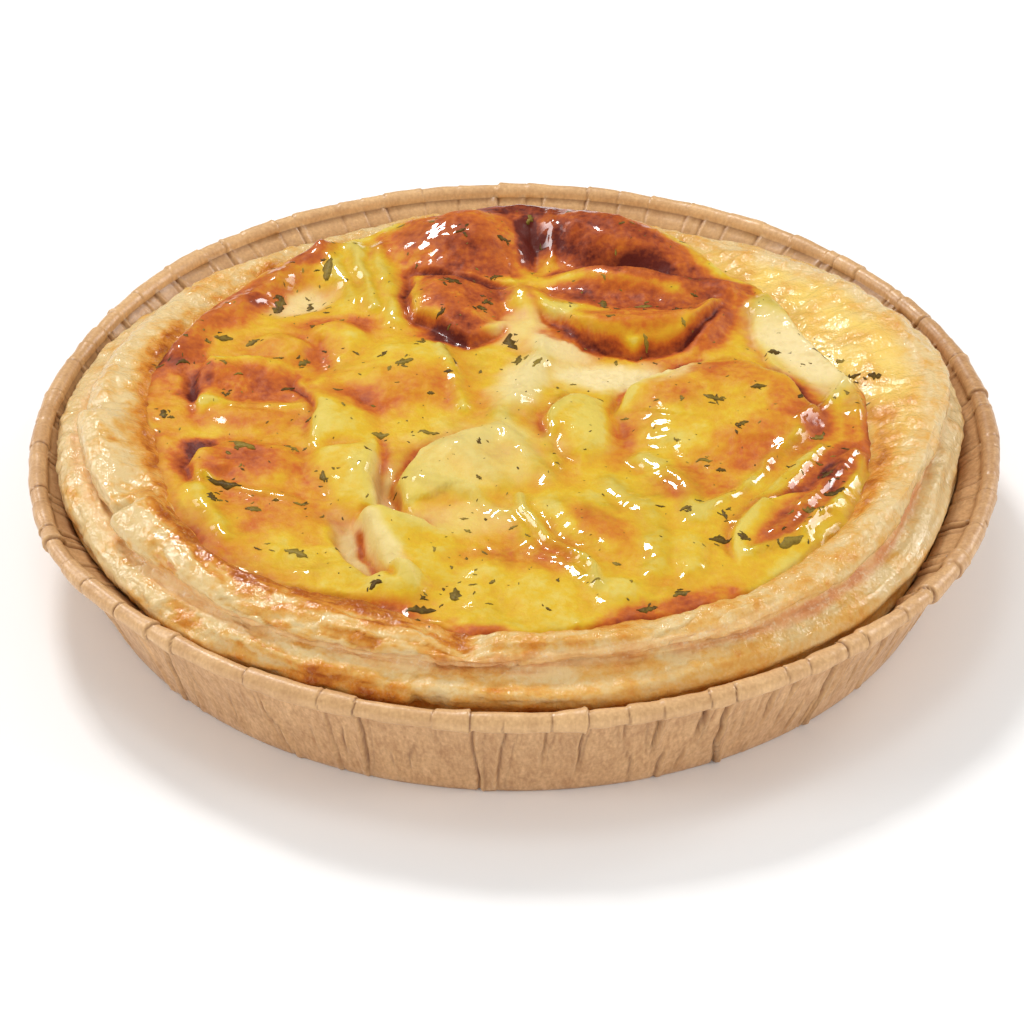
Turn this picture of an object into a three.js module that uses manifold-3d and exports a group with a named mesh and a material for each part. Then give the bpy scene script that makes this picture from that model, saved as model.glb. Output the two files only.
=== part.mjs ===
import * as THREE from "three";
import { mergeVertices } from "three/addons/utils/BufferGeometryUtils.js";
import Module from "manifold-3d";

// A small quiche in the round paper case it was baked in: millimetres, +Z up.
// The origin is the middle of the case's base, and the front is towards -Y.
// Azimuths are in degrees: right 0, back 90, left 180, front 270.

// Driving dimensions
const rimDiameter = 150; // over the rolled rim of the case
const caseHeight = 20;
const baseDiameter = 132;
const rollThickness = 3.4; // the rim, rolled outwards
const paperThickness = 0.6;
const pieceGap = 0.35; // kept clear between case, pastry and filling
const pastryFloor = 5; // pastry under the filling
const ledgeDiameter = 138.8; // lower fold of the pastry, inside the rim
const ledgeHeight = 19.4;
const grooveDiameter = 130.4; // flaky gap between the two folds
const grooveHeight = 22;
const collarDiameter = 132.6; // upper fold of the pastry
const collarHeight = 24;
const crestDiameter = 125;
const crestHeight = 26;
const fillingDiameter = 114; // where the pastry's inner slope meets the filling
const fillingLevel = 22.4; // the baked top between its lumps
const flakeCount = 30; // herb flakes large enough to stand out of the filling
const flakeLength = 4;
const flakeWidth = 1.7;
const flakeThickness = 0.9;
const flakeReach = 45; // furthest flake from the middle

// Fineness of the round pieces
const caseSectors = 144;
const pastrySectors = 108;
const fillingSectors = 96;
const fillingRings = 22;
const rollSteps = 8;

// The case isn't quite round: each sway pushes the rim out or in around one azimuth.
const rimSway = [
  { at: 160, spread: 17, size: -1 },
  { at: 207, spread: 13, size: 1.5 },
  { at: 330, spread: 16, size: 0.7 },
];

// The pastry's inner edge leans in and out around the filling.
const fillingSway = [
  { at: 120, spread: 16, size: -2.4 },
  { at: 215, spread: 20, size: 1 },
  { at: 246, spread: 10, size: -1.2 },
  { at: 15, spread: 16, size: 1 },
];

// How each fold of the pastry strays from its even ring: outwards, and upwards.
const pastrySway = {
  foot: { out: [], up: [] },
  ledge: {
    out: [
      { at: 188, spread: 30, size: 1.7 },
      { at: 8, spread: 24, size: 0.7 },
      { at: 92, spread: 30, size: -0.8 },
    ],
    up: [{ at: 92, spread: 46, size: -1 }],
  },
  groove: {
    out: [{ at: 15, spread: 24, size: 1.2 }],
    up: [
      { at: 92, spread: 46, size: -1.7 },
      { at: 15, spread: 26, size: 0.8 },
    ],
  },
  collar: {
    out: [
      { at: 15, spread: 26, size: 1.6 },
      { at: 188, spread: 28, size: 0.6 },
      { at: 92, spread: 36, size: -1.2 },
    ],
    up: [
      { at: 92, spread: 44, size: -2.4 },
      { at: 15, spread: 26, size: 1.4 },
    ],
  },
  crest: {
    out: [
      { at: 15, spread: 26, size: 1.2 },
      { at: 92, spread: 38, size: -1.6 },
    ],
    up: [
      { at: 92, spread: 42, size: -2.8 },
      { at: 18, spread: 26, size: 1 },
      { at: 190, spread: 30, size: 0.6 },
      { at: 264, spread: 5, size: -1.5 },
      { at: 204, spread: 5, size: -0.9 },
    ],
  },
  lip: { out: fillingSway, up: [] },
  hollow: { out: fillingSway, up: [] },
};

// Waves of the hand-folded edge, by fold: how far they stray, and where they start.
const foldWaves = {
  ledge: { size: 0.4, start: 0.4 },
  groove: { size: 0.3, start: 1.1 },
  collar: { size: 0.45, start: 2.2 },
  crest: { size: 0.4, start: 3.7 },
};

// Lumps of the baked top: middle, half lengths along and across, turn from +X, rise and steepness.
const lumps = [
  { name: "blister left", x: -9, y: 46, along: 12, across: 6, turn: 8, rise: 6.4, steep: 1.6 },
  { name: "blister middle", x: 9, y: 47.5, along: 8, across: 6.5, turn: -8, rise: 7.4, steep: 1.8 },
  { name: "blister right", x: 23, y: 42, along: 9, across: 6, turn: -30, rise: 6.4, steep: 1.6 },
  { name: "brown tongue", x: -10, y: 31, along: 12, across: 7, turn: 80, rise: 4, steep: 1.6 },
  { name: "brown ridge", x: 18, y: 33.5, along: 13, across: 4.5, turn: -3, rise: 5.4, steep: 1.6 },
  { name: "brown lip", x: 20, y: 19.5, along: 12, across: 3.6, turn: 8, rise: 4.5, steep: 1.5 },
  { name: "lip right", x: 33, y: 26, along: 7, across: 3.6, turn: 75, rise: 4.5, steep: 1.5 },
  { name: "lip left", x: 8, y: 26, along: 6, across: 3.5, turn: 115, rise: 4, steep: 1.5 },
  { name: "back left fold", x: -21, y: 37, along: 11, across: 4.5, turn: 100, rise: 3.4, steep: 1.5 },
  { name: "left middle", x: -18, y: 9, along: 11, across: 12, turn: 0, rise: 3.2, steep: 2 },
  { name: "left bright edge", x: -7.5, y: 5, along: 9, across: 2.6, turn: 105, rise: 4, steep: 1.3 },
  { name: "left far", x: -36, y: 15, along: 7, across: 5, turn: 20, rise: 2.8, steep: 1.5 },
  { name: "left rim", x: -44, y: 5, along: 9, across: 5.5, turn: 60, rise: 2.8, steep: 1.5 },
  { name: "left low", x: -41, y: -8, along: 9, across: 4.5, turn: -15, rise: 2.8, steep: 1.5 },
  { name: "left steep", x: -26, y: -20, along: 10, across: 5.5, turn: -75, rise: 3.2, steep: 2 },
  { name: "front left", x: -37, y: -32, along: 9, across: 6, turn: -40, rise: 2, steep: 1.5 },
  { name: "pale middle", x: -6, y: -18, along: 11, across: 10, turn: 20, rise: 4, steep: 2.2 },
  { name: "middle ridge", x: 8, y: -7, along: 12, across: 4.5, turn: 95, rise: 4.2, steep: 1.6 },
  { name: "centre ridge", x: 1, y: 5, along: 9, across: 3, turn: 65, rise: 3.2, steep: 1.4 },
  { name: "right dome", x: 31, y: -2, along: 15, across: 12, turn: -35, rise: 4.2, steep: 2.2 },
  { name: "front left fold", x: -12, y: -39, along: 13, across: 6, turn: -62, rise: 3, steep: 1.8 },
  { name: "front middle", x: 9, y: -33, along: 12, across: 7, turn: -50, rise: 3, steep: 1.8 },
  { name: "front right", x: 23, y: -29, along: 9, across: 6, turn: 30, rise: 2.8, steep: 1.5 },
  { name: "right edge", x: 46, y: 14, along: 13, across: 5, turn: -68, rise: 2.2, steep: 1.4 },
  { name: "back left pocket", x: -34, y: 28, along: 7, across: 5, turn: 30, rise: -2.4, steep: 1.5 },
  { name: "pale hollow", x: 16, y: 8, along: 11, across: 5, turn: -10, rise: -1.2, steep: 1.5 },
];
const lumpBlend = 4; // higher keeps the creases between lumps sharper
const edgeFade = 6; // lumps die away over this width at the filling's edge

const rimRadius = rimDiameter / 2;
const baseRadius = baseDiameter / 2;
const rollRadius = rollThickness / 2;
const rollMiddle = rimRadius - rollRadius;
const rollHeight = caseHeight - rollRadius;
const ledgeRadius = ledgeDiameter / 2;
const grooveRadius = grooveDiameter / 2;
const collarRadius = collarDiameter / 2;
const crestRadius = crestDiameter / 2;
const fillingRadius = fillingDiameter / 2;
const footLevel = paperThickness + pieceGap;
const footRadius = baseRadius - paperThickness - 2 * pieceGap;
const floorLevel = footLevel + pastryFloor;

const wasm = await Module();
wasm.setup();

// A bump round the ring: its full size at its azimuth, fading away over its spread.
function bumpAt(azimuth, { at, spread, size }) {
  const apart = ((azimuth - at + 540) % 360) - 180;
  return size * Math.exp(-((apart / spread) ** 2));
}

function swayAt(azimuth, bumps) {
  return bumps.reduce((sum, bump) => sum + bumpAt(azimuth, bump), 0);
}

// Slow and quick waves round a fold, at most about 1.
function waveAt(azimuth, start) {
  const turn = THREE.MathUtils.degToRad(azimuth);
  const slow = 0.5 * Math.sin(7 * turn + start);
  const middling = 0.3 * Math.sin(13 * turn + 2 * start);
  const quick = 0.2 * Math.sin(22 * turn + 3 * start);
  return slow + middling + quick;
}

// Turns a profile of points { r, z } round the axis. shift(point, azimuth) moves each one.
function turned(profile, sectors, shift) {
  const outline = profile.map(({ r, z }) => new THREE.Vector2(r, z));
  const geometry = new THREE.LatheGeometry(outline, sectors).rotateX(Math.PI / 2);
  const position = geometry.attributes.position;
  for (let i = 0; i < position.count; i++) {
    const point = profile[i % profile.length];
    const turn = Math.atan2(position.getY(i), position.getX(i));
    const azimuth = (THREE.MathUtils.radToDeg(turn) + 360) % 360;
    const moved = shift(point, azimuth);
    const reach = point.r === 0 ? 0 : moved.r;
    position.setXYZ(i, reach * Math.cos(turn), reach * Math.sin(turn), moved.z);
  }
  geometry.computeVertexNormals();
  return geometry;
}

function solidFrom(geometry) {
  const bare = geometry.clone();
  bare.deleteAttribute("normal");
  bare.deleteAttribute("uv");
  const joined = mergeVertices(bare, 1e-3);
  return new wasm.Manifold(new wasm.Mesh({
    numProp: 3,
    vertProperties: joined.attributes.position.array,
    triVerts: new Uint32Array(joined.index.array),
  }));
}

function geometryFrom(solid) {
  const mesh = solid.getMesh();
  const geometry = new THREE.BufferGeometry();
  geometry.setAttribute("position", new THREE.BufferAttribute(mesh.vertProperties, 3));
  geometry.setIndex(new THREE.BufferAttribute(mesh.triVerts, 1));
  geometry.computeVertexNormals();
  return geometry;
}

// A cup of paper with leaning sides, whose top is rolled over outwards.
function paperCase() {
  const wallTop = rimRadius - rollThickness + paperThickness;
  const drop = Math.sqrt(rollRadius ** 2 - (rollMiddle - wallTop) ** 2);
  const rollStart = Math.atan2(-drop, wallTop - rollMiddle);
  const profile = [
    { r: 0, z: 0 },
    { r: baseRadius, z: 0 },
  ];
  for (let step = 0; step <= rollSteps; step++) {
    const turn = rollStart + ((Math.PI - rollStart) * step) / rollSteps;
    const r = rollMiddle + rollRadius * Math.cos(turn);
    const z = rollHeight + rollRadius * Math.sin(turn);
    profile.push({ r, z });
  }
  profile.push({ r: baseRadius - paperThickness, z: paperThickness });
  profile.push({ r: 0, z: paperThickness });
  return turned(profile, caseSectors, ({ r, z }, azimuth) => {
    return { r: r + (swayAt(azimuth, rimSway) * z) / rollHeight, z };
  });
}

// A pastry cup: its edge is a lower fold, a flaky groove, an upper fold and a slope down to the filling.
function pastryShell() {
  const profile = [
    { fold: "foot", r: 0, z: footLevel },
    { fold: "foot", r: footRadius - 1.4, z: footLevel },
    { fold: "foot", r: footRadius, z: footLevel + 1.4 },
    { fold: "foot", r: ledgeRadius - 1.6, z: ledgeHeight - 5 },
    { fold: "ledge", r: ledgeRadius - 0.5, z: ledgeHeight - 1.8 },
    { fold: "ledge", r: ledgeRadius, z: ledgeHeight },
    { fold: "ledge", r: ledgeRadius - 0.6, z: ledgeHeight + 1.7 },
    { fold: "ledge", r: ledgeRadius - 2.2, z: ledgeHeight + 2.6 },
    { fold: "groove", r: grooveRadius, z: grooveHeight },
    { fold: "collar", r: collarRadius - 0.3, z: collarHeight - 1 },
    { fold: "collar", r: collarRadius, z: collarHeight },
    { fold: "collar", r: collarRadius - 0.9, z: collarHeight + 1.2 },
    { fold: "crest", r: crestRadius + 1.2, z: crestHeight - 0.2 },
    { fold: "crest", r: crestRadius - 1.2, z: crestHeight - 0.2 },
    { fold: "crest", r: crestRadius - 3.2, z: crestHeight - 1.2 },
    { fold: "lip", r: fillingRadius + 1.4, z: fillingLevel + 0.5 },
    { fold: "lip", r: fillingRadius, z: fillingLevel - 1.2 },
    { fold: "hollow", r: fillingRadius - 2.2, z: floorLevel + 2 },
    { fold: "hollow", r: fillingRadius - 4.2, z: floorLevel },
    { fold: "hollow", r: 0, z: floorLevel },
  ];
  return turned(profile, pastrySectors, ({ fold, r, z }, azimuth) => {
    const { out, up } = pastrySway[fold];
    const { size, start } = foldWaves[fold] ?? { size: 0, start: 0 };
    const outwards = swayAt(azimuth, out) + size * waveAt(azimuth, start);
    const upwards = swayAt(azimuth, up) + size * waveAt(azimuth, start + 1);
    return { r: r + outwards, z: z + upwards };
  });
}

function lumpHeight(lump, x, y) {
  const turn = THREE.MathUtils.degToRad(lump.turn);
  const along = (x - lump.x) * Math.cos(turn) + (y - lump.y) * Math.sin(turn);
  const across = (y - lump.y) * Math.cos(turn) - (x - lump.x) * Math.sin(turn);
  const apart = (along / lump.along) ** 2 + (across / lump.across) ** 2;
  return lump.rise / (1 + apart ** lump.steep);
}

// Height of the baked top over x, y. Neighbouring lumps meet in creases.
function fillingTop(x, y) {
  const azimuth = (THREE.MathUtils.radToDeg(Math.atan2(y, x)) + 360) % 360;
  const edge = fillingRadius - pieceGap + swayAt(azimuth, fillingSway);
  const fade = THREE.MathUtils.smoothstep(edge - Math.hypot(x, y), 0, edgeFade);
  const heights = lumps.map((lump) => lumpHeight(lump, x, y));
  const risen = heights.reduce((sum, height) => sum + Math.max(height, 0) ** lumpBlend, 0) ** (1 / lumpBlend);
  const sunk = heights.reduce((sum, height) => sum + Math.min(height, 0), 0);
  return fillingLevel + fade * (risen + sunk);
}

// The egg filling, down to the pastry's floor, with its lumpy top.
function fillingBody() {
  const edge = fillingRadius - pieceGap;
  const profile = [
    { r: 0, z: floorLevel + pieceGap },
    { r: edge - 4.2, z: floorLevel + pieceGap },
    { r: edge - 2.2, z: floorLevel + pieceGap + 2 },
    { r: edge, z: fillingLevel - 1.2 },
  ];
  for (let ring = fillingRings; ring >= 0; ring--) {
    profile.push({ r: ((edge - 0.5) * ring) / fillingRings, z: fillingLevel, top: true });
  }
  return turned(profile, fillingSectors, ({ r, z, top }, azimuth) => {
    const turn = THREE.MathUtils.degToRad(azimuth);
    const reach = r * (1 + swayAt(azimuth, fillingSway) / edge);
    const height = top ? fillingTop(reach * Math.cos(turn), reach * Math.sin(turn)) : z;
    return { r: reach, z: height };
  });
}

// A repeatable draw of numbers from 0 to 1.
function seededDraw(seed) {
  let state = seed;
  return () => {
    state = (Math.imul(state, 1664525) + 1013904223) >>> 0;
    return state / 2 ** 32;
  };
}

// Flat flakes laid on the top, spread evenly by the golden angle and turned at random.
function herbFlakes() {
  const draw = seededDraw(11);
  const goldenAngle = Math.PI * (3 - Math.sqrt(5));
  const probe = 0.5;
  const flakes = [];
  for (let i = 0; i < flakeCount; i++) {
    const reach = flakeReach * Math.sqrt((i + 0.5) / flakeCount);
    const x = reach * Math.cos(i * goldenAngle);
    const y = reach * Math.sin(i * goldenAngle);
    const slopeX = (fillingTop(x + probe, y) - fillingTop(x - probe, y)) / (2 * probe);
    const slopeY = (fillingTop(x, y + probe) - fillingTop(x, y - probe)) / (2 * probe);
    const normal = new THREE.Vector3(-slopeX, -slopeY, 1).normalize();
    const size = 0.75 + 0.5 * draw();
    const flake = new THREE.OctahedronGeometry(1, 0);
    flake.scale((flakeLength * size) / 2, flakeWidth / 2, flakeThickness / 2);
    flake.rotateZ(2 * Math.PI * draw());
    flake.applyQuaternion(new THREE.Quaternion().setFromUnitVectors(new THREE.Vector3(0, 0, 1), normal));
    flake.translate(x, y, fillingTop(x, y));
    flakes.push(flake);
  }
  return flakes;
}

function filling() {
  const whole = herbFlakes().reduce((solid, flake) => solid.add(solidFrom(flake)), solidFrom(fillingBody()));
  return geometryFrom(whole);
}

function named(name, geometry, color, roughness) {
  const mesh = new THREE.Mesh(geometry, new THREE.MeshStandardMaterial({ color, roughness, metalness: 0 }));
  mesh.name = name;
  return mesh;
}

const quiche = new THREE.Group();
quiche.add(named("paper_case", paperCase(), 0xc99a66, 0.6));
quiche.add(named("pastry_shell", pastryShell(), 0xe2bb80, 0.4));
quiche.add(named("filling", filling(), 0xe8b23a, 0.25));

export default quiche;
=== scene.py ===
# A small quiche in its paper case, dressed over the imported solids. Sizes in the dictionaries are millimetres.
import math
from types import SimpleNamespace
import bpy
import numpy as np
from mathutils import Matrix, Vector


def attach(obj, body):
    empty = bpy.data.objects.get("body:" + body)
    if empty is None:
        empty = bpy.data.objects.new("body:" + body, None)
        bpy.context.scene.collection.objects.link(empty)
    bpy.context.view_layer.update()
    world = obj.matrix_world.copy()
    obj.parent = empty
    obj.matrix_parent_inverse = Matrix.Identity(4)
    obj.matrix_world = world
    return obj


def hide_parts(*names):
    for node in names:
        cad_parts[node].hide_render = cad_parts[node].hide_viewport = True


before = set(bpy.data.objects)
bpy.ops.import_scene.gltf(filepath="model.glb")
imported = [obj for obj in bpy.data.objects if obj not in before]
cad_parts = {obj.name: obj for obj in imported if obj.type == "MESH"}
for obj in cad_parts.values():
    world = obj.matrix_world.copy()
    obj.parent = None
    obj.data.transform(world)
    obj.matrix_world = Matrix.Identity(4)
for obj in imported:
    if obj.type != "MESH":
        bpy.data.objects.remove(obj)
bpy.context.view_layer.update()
mm = 0.001
draw = np.random.default_rng(4)
print("frame loaded:", sorted(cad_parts))


# shapes and noise that several pieces share

bitMixers = np.array([73856093, 19349663, 83492791])  # large primes that scatter the noise
seedStep = 2654435761


def scramble(key):  # mixes the bits of whole numbers
    key = (key ^ (key >> 13)) * 1274126177
    return key ^ (key >> 16)


def hashedNoise(points, seed):  # smooth noise of about -1 to 1 at points given in cells
    cell = np.floor(points).astype(np.int64)
    inside = points - cell
    fade = inside ** 3 * (inside * (inside * 6 - 15) + 10)
    total = np.zeros(len(points))
    for corner in np.ndindex(2, 2, 2):
        corner = np.array(corner)
        key = scramble(((cell + corner) * bitMixers).sum(1) + seed * seedStep)
        lean = [((key >> shift) & 1023) / 511.5 - 1 for shift in (0, 10, 20)]
        rise = sum(lean[i] * (inside[:, i] - corner[i]) for i in range(3))
        total += rise * np.prod(np.where(corner, fade, 1 - fade), axis=1)
    return total * 1.3


def roughNoise(points, seed, octaves=3):  # the same with finer noise laid over it
    return sum(hashedNoise(points * 2.03 ** k, seed + 17 * k) * 0.5 ** k for k in range(octaves))


def smoothStep(low, high, value):
    t = np.clip((value - low) / (high - low), 0, 1)
    return t * t * (3 - 2 * t)


def bell(apart, width, power=2):  # soft bump, 1 in the middle, with a flatter top at a higher power
    return np.exp(-(apart / width) ** power)


def azimuthApart(azimuth, other):  # in degrees, -180 to 180
    return (azimuth - other + 540) % 360 - 180


def ringSway(azimuth, bumps):  # bumps of (azimuth, width, size) round a ring
    return sum(size * bell(azimuthApart(azimuth, at), width) for at, width, size in bumps)


def foldWave(azimuth, start):  # slow and quick waves round a fold, at most about 1
    turn = np.radians(azimuth)
    waves = ((0.5, 7), (0.3, 13), (0.2, 22))  # size, and how many round the ring
    return sum(size * np.sin(count * turn + (k + 1) * start) for k, (size, count) in enumerate(waves))


def splineRows(controls, steps):  # smooth rows through rows of control points, Catmull-Rom
    rows = []
    last = len(controls) - 1
    for k in range(last):
        before, here, there, after = (controls[min(max(k + i, 0), last)] for i in (-1, 0, 1, 2))
        for t in np.arange(steps[k]) / steps[k]:
            rows.append(0.5 * (2 * here + (there - before) * t
                               + (2 * before - 5 * here + 4 * there - after) * t ** 2
                               + (3 * here - before - 3 * there + after) * t ** 3))
    rows.append(controls[last])
    return np.array(rows)


def ringNormals(points):  # outward normals of a grid of points[sector, step]
    along = np.roll(points, -1, axis=0) - np.roll(points, 1, axis=0)
    across = np.gradient(points, axis=1)
    normal = np.cross(along, across)
    return normal / np.maximum(np.linalg.norm(normal, axis=-1, keepdims=True), 1e-9)


def makePiece(name, verts, faces, masks, material):  # verts in mm
    mesh = bpy.data.meshes.new(name)
    mesh.from_pydata((np.asarray(verts) * mm).tolist(), [], [list(map(int, face)) for face in faces])
    for mask, values in masks.items():
        layer = mesh.attributes.new(mask, "FLOAT", "POINT")
        layer.data.foreach_set("value", np.asarray(values, np.float32).ravel())
    mesh.shade_smooth()
    mesh.materials.append(material)
    piece = bpy.data.objects.new(name, mesh)
    bpy.context.scene.collection.objects.link(piece)
    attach(piece, "root")
    return piece


def quadsBetween(first, second):  # quads between two rows of point numbers, each as wide as one step
    return np.stack([first, second, second + 1, first + 1], -1)


def ringFaces(sectors, steps):  # quads of a closed ring whose ends are fanned to two middle points
    ring = np.arange(sectors)
    following = (ring + 1) % sectors
    step = np.arange(steps - 1)
    here, there = ((row[:, None] * steps + step).ravel() for row in (ring, following))
    quads = quadsBetween(here, there)
    first, last = sectors * steps, sectors * steps + 1
    lower = np.stack([following * steps, ring * steps, np.full(sectors, first)], -1)
    upper = np.stack([ring * steps + steps - 1, following * steps + steps - 1, np.full(sectors, last)], -1)
    return quads.tolist() + lower.tolist() + upper.tolist()


def ringPiece(name, points, masks, material):  # closed piece from points[sector, step]
    sectors, steps = points.shape[:2]
    middles = np.stack([points[:, 0].mean(0), points[:, -1].mean(0)])
    middles[:, :2] = 0
    verts = np.concatenate([points.reshape(-1, 3), middles])
    padded = {key: np.concatenate([np.ravel(value), [0, 0]]) for key, value in masks.items()}
    return makePiece(name, verts, ringFaces(sectors, steps), padded, material)


# shader helpers and the effects that several finishes share

def addNode(tree, kind, inputs=None, **settings):
    node = tree.nodes.new(kind)
    for key, value in settings.items():
        setattr(node, key, value)
    for key, value in (inputs or {}).items():
        if isinstance(value, bpy.types.NodeSocket):
            tree.links.new(value, node.inputs[key])
        else:
            node.inputs[key].default_value = value
    return node


def startGroup(name, inputs, outputs):
    group = bpy.data.node_groups.new(name, "ShaderNodeTree")
    for label, kind, value in inputs:
        socket = group.interface.new_socket(label, in_out="INPUT", socket_type=kind)
        if value is not None:
            socket.default_value = value
    for label, kind in outputs:
        group.interface.new_socket(label, in_out="OUTPUT", socket_type=kind)
    return group, group.nodes.new("NodeGroupInput"), group.nodes.new("NodeGroupOutput")


def mottleGroup():  # patchy tone from two sizes of noise, squeezed between two limits
    group, given, result = startGroup("Mottle", [
        ("Place", "NodeSocketVector", None), ("Patch Scale", "NodeSocketFloat", 300.0),
        ("Speck Scale", "NodeSocketFloat", 2000.0), ("Speck Share", "NodeSocketFloat", 0.4),
        ("Low", "NodeSocketFloat", 0.35), ("High", "NodeSocketFloat", 0.65)], [("Tone", "NodeSocketFloat")])
    patch = addNode(group, "ShaderNodeTexNoise", {
        "Vector": given.outputs["Place"], "Scale": given.outputs["Patch Scale"], "Detail": 3.0})
    speck = addNode(group, "ShaderNodeTexNoise", {
        "Vector": given.outputs["Place"], "Scale": given.outputs["Speck Scale"], "Detail": 2.0})
    both = addNode(group, "ShaderNodeMix", {
        "Factor": given.outputs["Speck Share"], "A": patch.outputs["Fac"], "B": speck.outputs["Fac"]})
    squeezed = addNode(group, "ShaderNodeMapRange", {
        "Value": both.outputs["Result"], "From Min": given.outputs["Low"], "From Max": given.outputs["High"]})
    group.links.new(squeezed.outputs["Result"], result.inputs["Tone"])
    return group


def skinGroup():  # fine wrinkles and pores as a height for bump
    group, given, result = startGroup("Skin", [
        ("Place", "NodeSocketVector", None), ("Wrinkle Scale", "NodeSocketFloat", 700.0),
        ("Pore Scale", "NodeSocketFloat", 2500.0), ("Pore Share", "NodeSocketFloat", 0.35)],
        [("Height", "NodeSocketFloat")])
    wrinkle = addNode(group, "ShaderNodeTexNoise", {
        "Vector": given.outputs["Place"], "Scale": given.outputs["Wrinkle Scale"], "Detail": 3.0,
        "Distortion": 0.6})
    pore = addNode(group, "ShaderNodeTexNoise", {
        "Vector": given.outputs["Place"], "Scale": given.outputs["Pore Scale"], "Detail": 2.0})
    both = addNode(group, "ShaderNodeMix", {
        "Factor": given.outputs["Pore Share"], "A": wrinkle.outputs["Fac"], "B": pore.outputs["Fac"]})
    group.links.new(both.outputs["Result"], result.inputs["Height"])
    return group


mottle = mottleGroup()
skin = skinGroup()


def startMaterial(name, values=None):  # values that are the same all over are set on the shader
    material = bpy.data.materials.new(name)
    material.use_nodes = True
    tree = material.node_tree
    shader = tree.nodes["Principled BSDF"]
    for key, value in (values or {}).items():
        shader.inputs[key].default_value = value
    return material, tree, shader, tree.nodes.new("ShaderNodeTexCoord").outputs["Object"]


def placeGroup(tree, group, inputs):
    return addNode(tree, "ShaderNodeGroup", inputs, node_tree=group).outputs[0]


def readMask(tree, name):
    return addNode(tree, "ShaderNodeAttribute", attribute_name=name).outputs["Fac"]


def blendColor(tree, factor, first, second, kind="MIX"):
    node = addNode(tree, "ShaderNodeMix", data_type="RGBA", blend_type=kind)
    for key, value in ((0, factor), (6, first), (7, second)):
        if isinstance(value, bpy.types.NodeSocket):
            tree.links.new(value, node.inputs[key])
        elif key == 0:
            node.inputs[key].default_value = value
        else:
            node.inputs[key].default_value = (*value, 1)
    return node.outputs[2]


def toneRamp(tree, value, stops):  # stops of (place, color)
    ramp = addNode(tree, "ShaderNodeValToRGB", {"Fac": value})
    elements = ramp.color_ramp.elements
    while len(elements) < len(stops):
        elements.new(0.5)
    for element, (place, color) in zip(elements, stops):
        element.position = place
        element.color = (*color, 1)
    return ramp.outputs["Color"]


def calc(tree, operation, first, second, clamp=False):
    node = addNode(tree, "ShaderNodeMath", {0: first, 1: second}, operation=operation, use_clamp=clamp)
    return node.outputs[0]


def spread(tree, value, low, high, toLow=0.0, toHigh=1.0):  # one range of values laid on another
    node = addNode(tree, "ShaderNodeMapRange", {
        "Value": value, "From Min": low, "From Max": high, "To Min": toLow, "To Max": toHigh})
    return node.outputs["Result"]


def addBump(tree, shader, height, strength, distance):
    bump = addNode(tree, "ShaderNodeBump", {"Height": height, "Strength": strength, "Distance": distance})
    tree.links.new(bump.outputs["Normal"], shader.inputs["Normal"])
    return bump.outputs["Normal"]


# the paper case

paper = {
    "rimRadius": 75.0, "rollRadius": 1.45, "height": 20.0, "baseRadius": 66.0, "thickness": 0.6,
    "sway": ((160, 17, -1.0), (207, 13, 1.5), (330, 16, 0.7)),
    "sectors": 2200, "wallSteps": 12, "rollSteps": 14,
    # azimuths of the pleats that show at the front, the rest follow at about the same pitch
    "frontPleats": (213.6, 219.6, 225.2, 228.9, 239.0, 248.4, 252.4, 261.1, 265.3, 268.9, 273.9, 278.1, 282.4,
                    286.4, 291.9, 294.8, 301.4, 304.4, 309.6, 312.4, 319.1, 324.2),
    "pleatPitch": 4.3, "pleatJitter": 0.8, "slitDepth": 0.24, "slitWidth": 0.13, "flap": 0.24,
    "creaseDepth": 0.34, "creaseWidth": 0.24, "wrinkled": ((292, 22, 1.2), (324, 18, 1.0), (240, 18, 0.5)),
    # short creases between the pleats: middle and half of a stretch of wall in degrees, and how many
    "creases": ((304, 23, 17), (243, 17, 8), (90, 125, 32)),
    # ridges and twins as shares of the depth, the painted shade in each fold and the painted highlight on its
    # edge
    "pleatLook": {"ridge": 0.8, "shade": 0.7, "light": 0.55, "twin": 0.8, "twinShade": 0.45, "twinLight": 0.5,
                  "slitShade": 0.95, "flapLight": 0.9},
    # short creases: depth in mm, ridge as a share, painted shade in the crease and painted highlight on its
    # edge
    "creaseLook": {"depth": 0.3, "ridge": 0.7, "shade": 0.62, "light": 0.45},
    "ripple": 0.3, "crumple": 0.16, "rollShade": 0.3,  # unevenness in mm, and painted shade under the roll
    "backSide": (92, 78),  # azimuth and half of the stretch at the back, with softer folds, less painted shade in them and more painted light on the rim
    # fold: the colour of painted shade in creases, in slits and under the roll
    "light": (0.81, 0.50, 0.24), "dark": (0.40, 0.18, 0.066), "fold": (0.17, 0.055, 0.015),
    # rim: the colour of painted light on the roll, the inner flange and the edges of folds
    "rim": (0.84, 0.535, 0.25),
    "shaded": ((2, 34, 1.0), (185, 26, 0.5)),  # where the rim gets no painted light, so it is no lighter than the wall, and some painted shade
    # how far the inner face leans in below the rim: azimuth, spread, size
    "flange": ((211, 15, 2.6), (338, 17, 3.1), (188, 12, 0.8), (5, 16, 1.3)),
    "backFlange": ((58, 30, 2.1), (122, 36, 2.3)),
}


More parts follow.
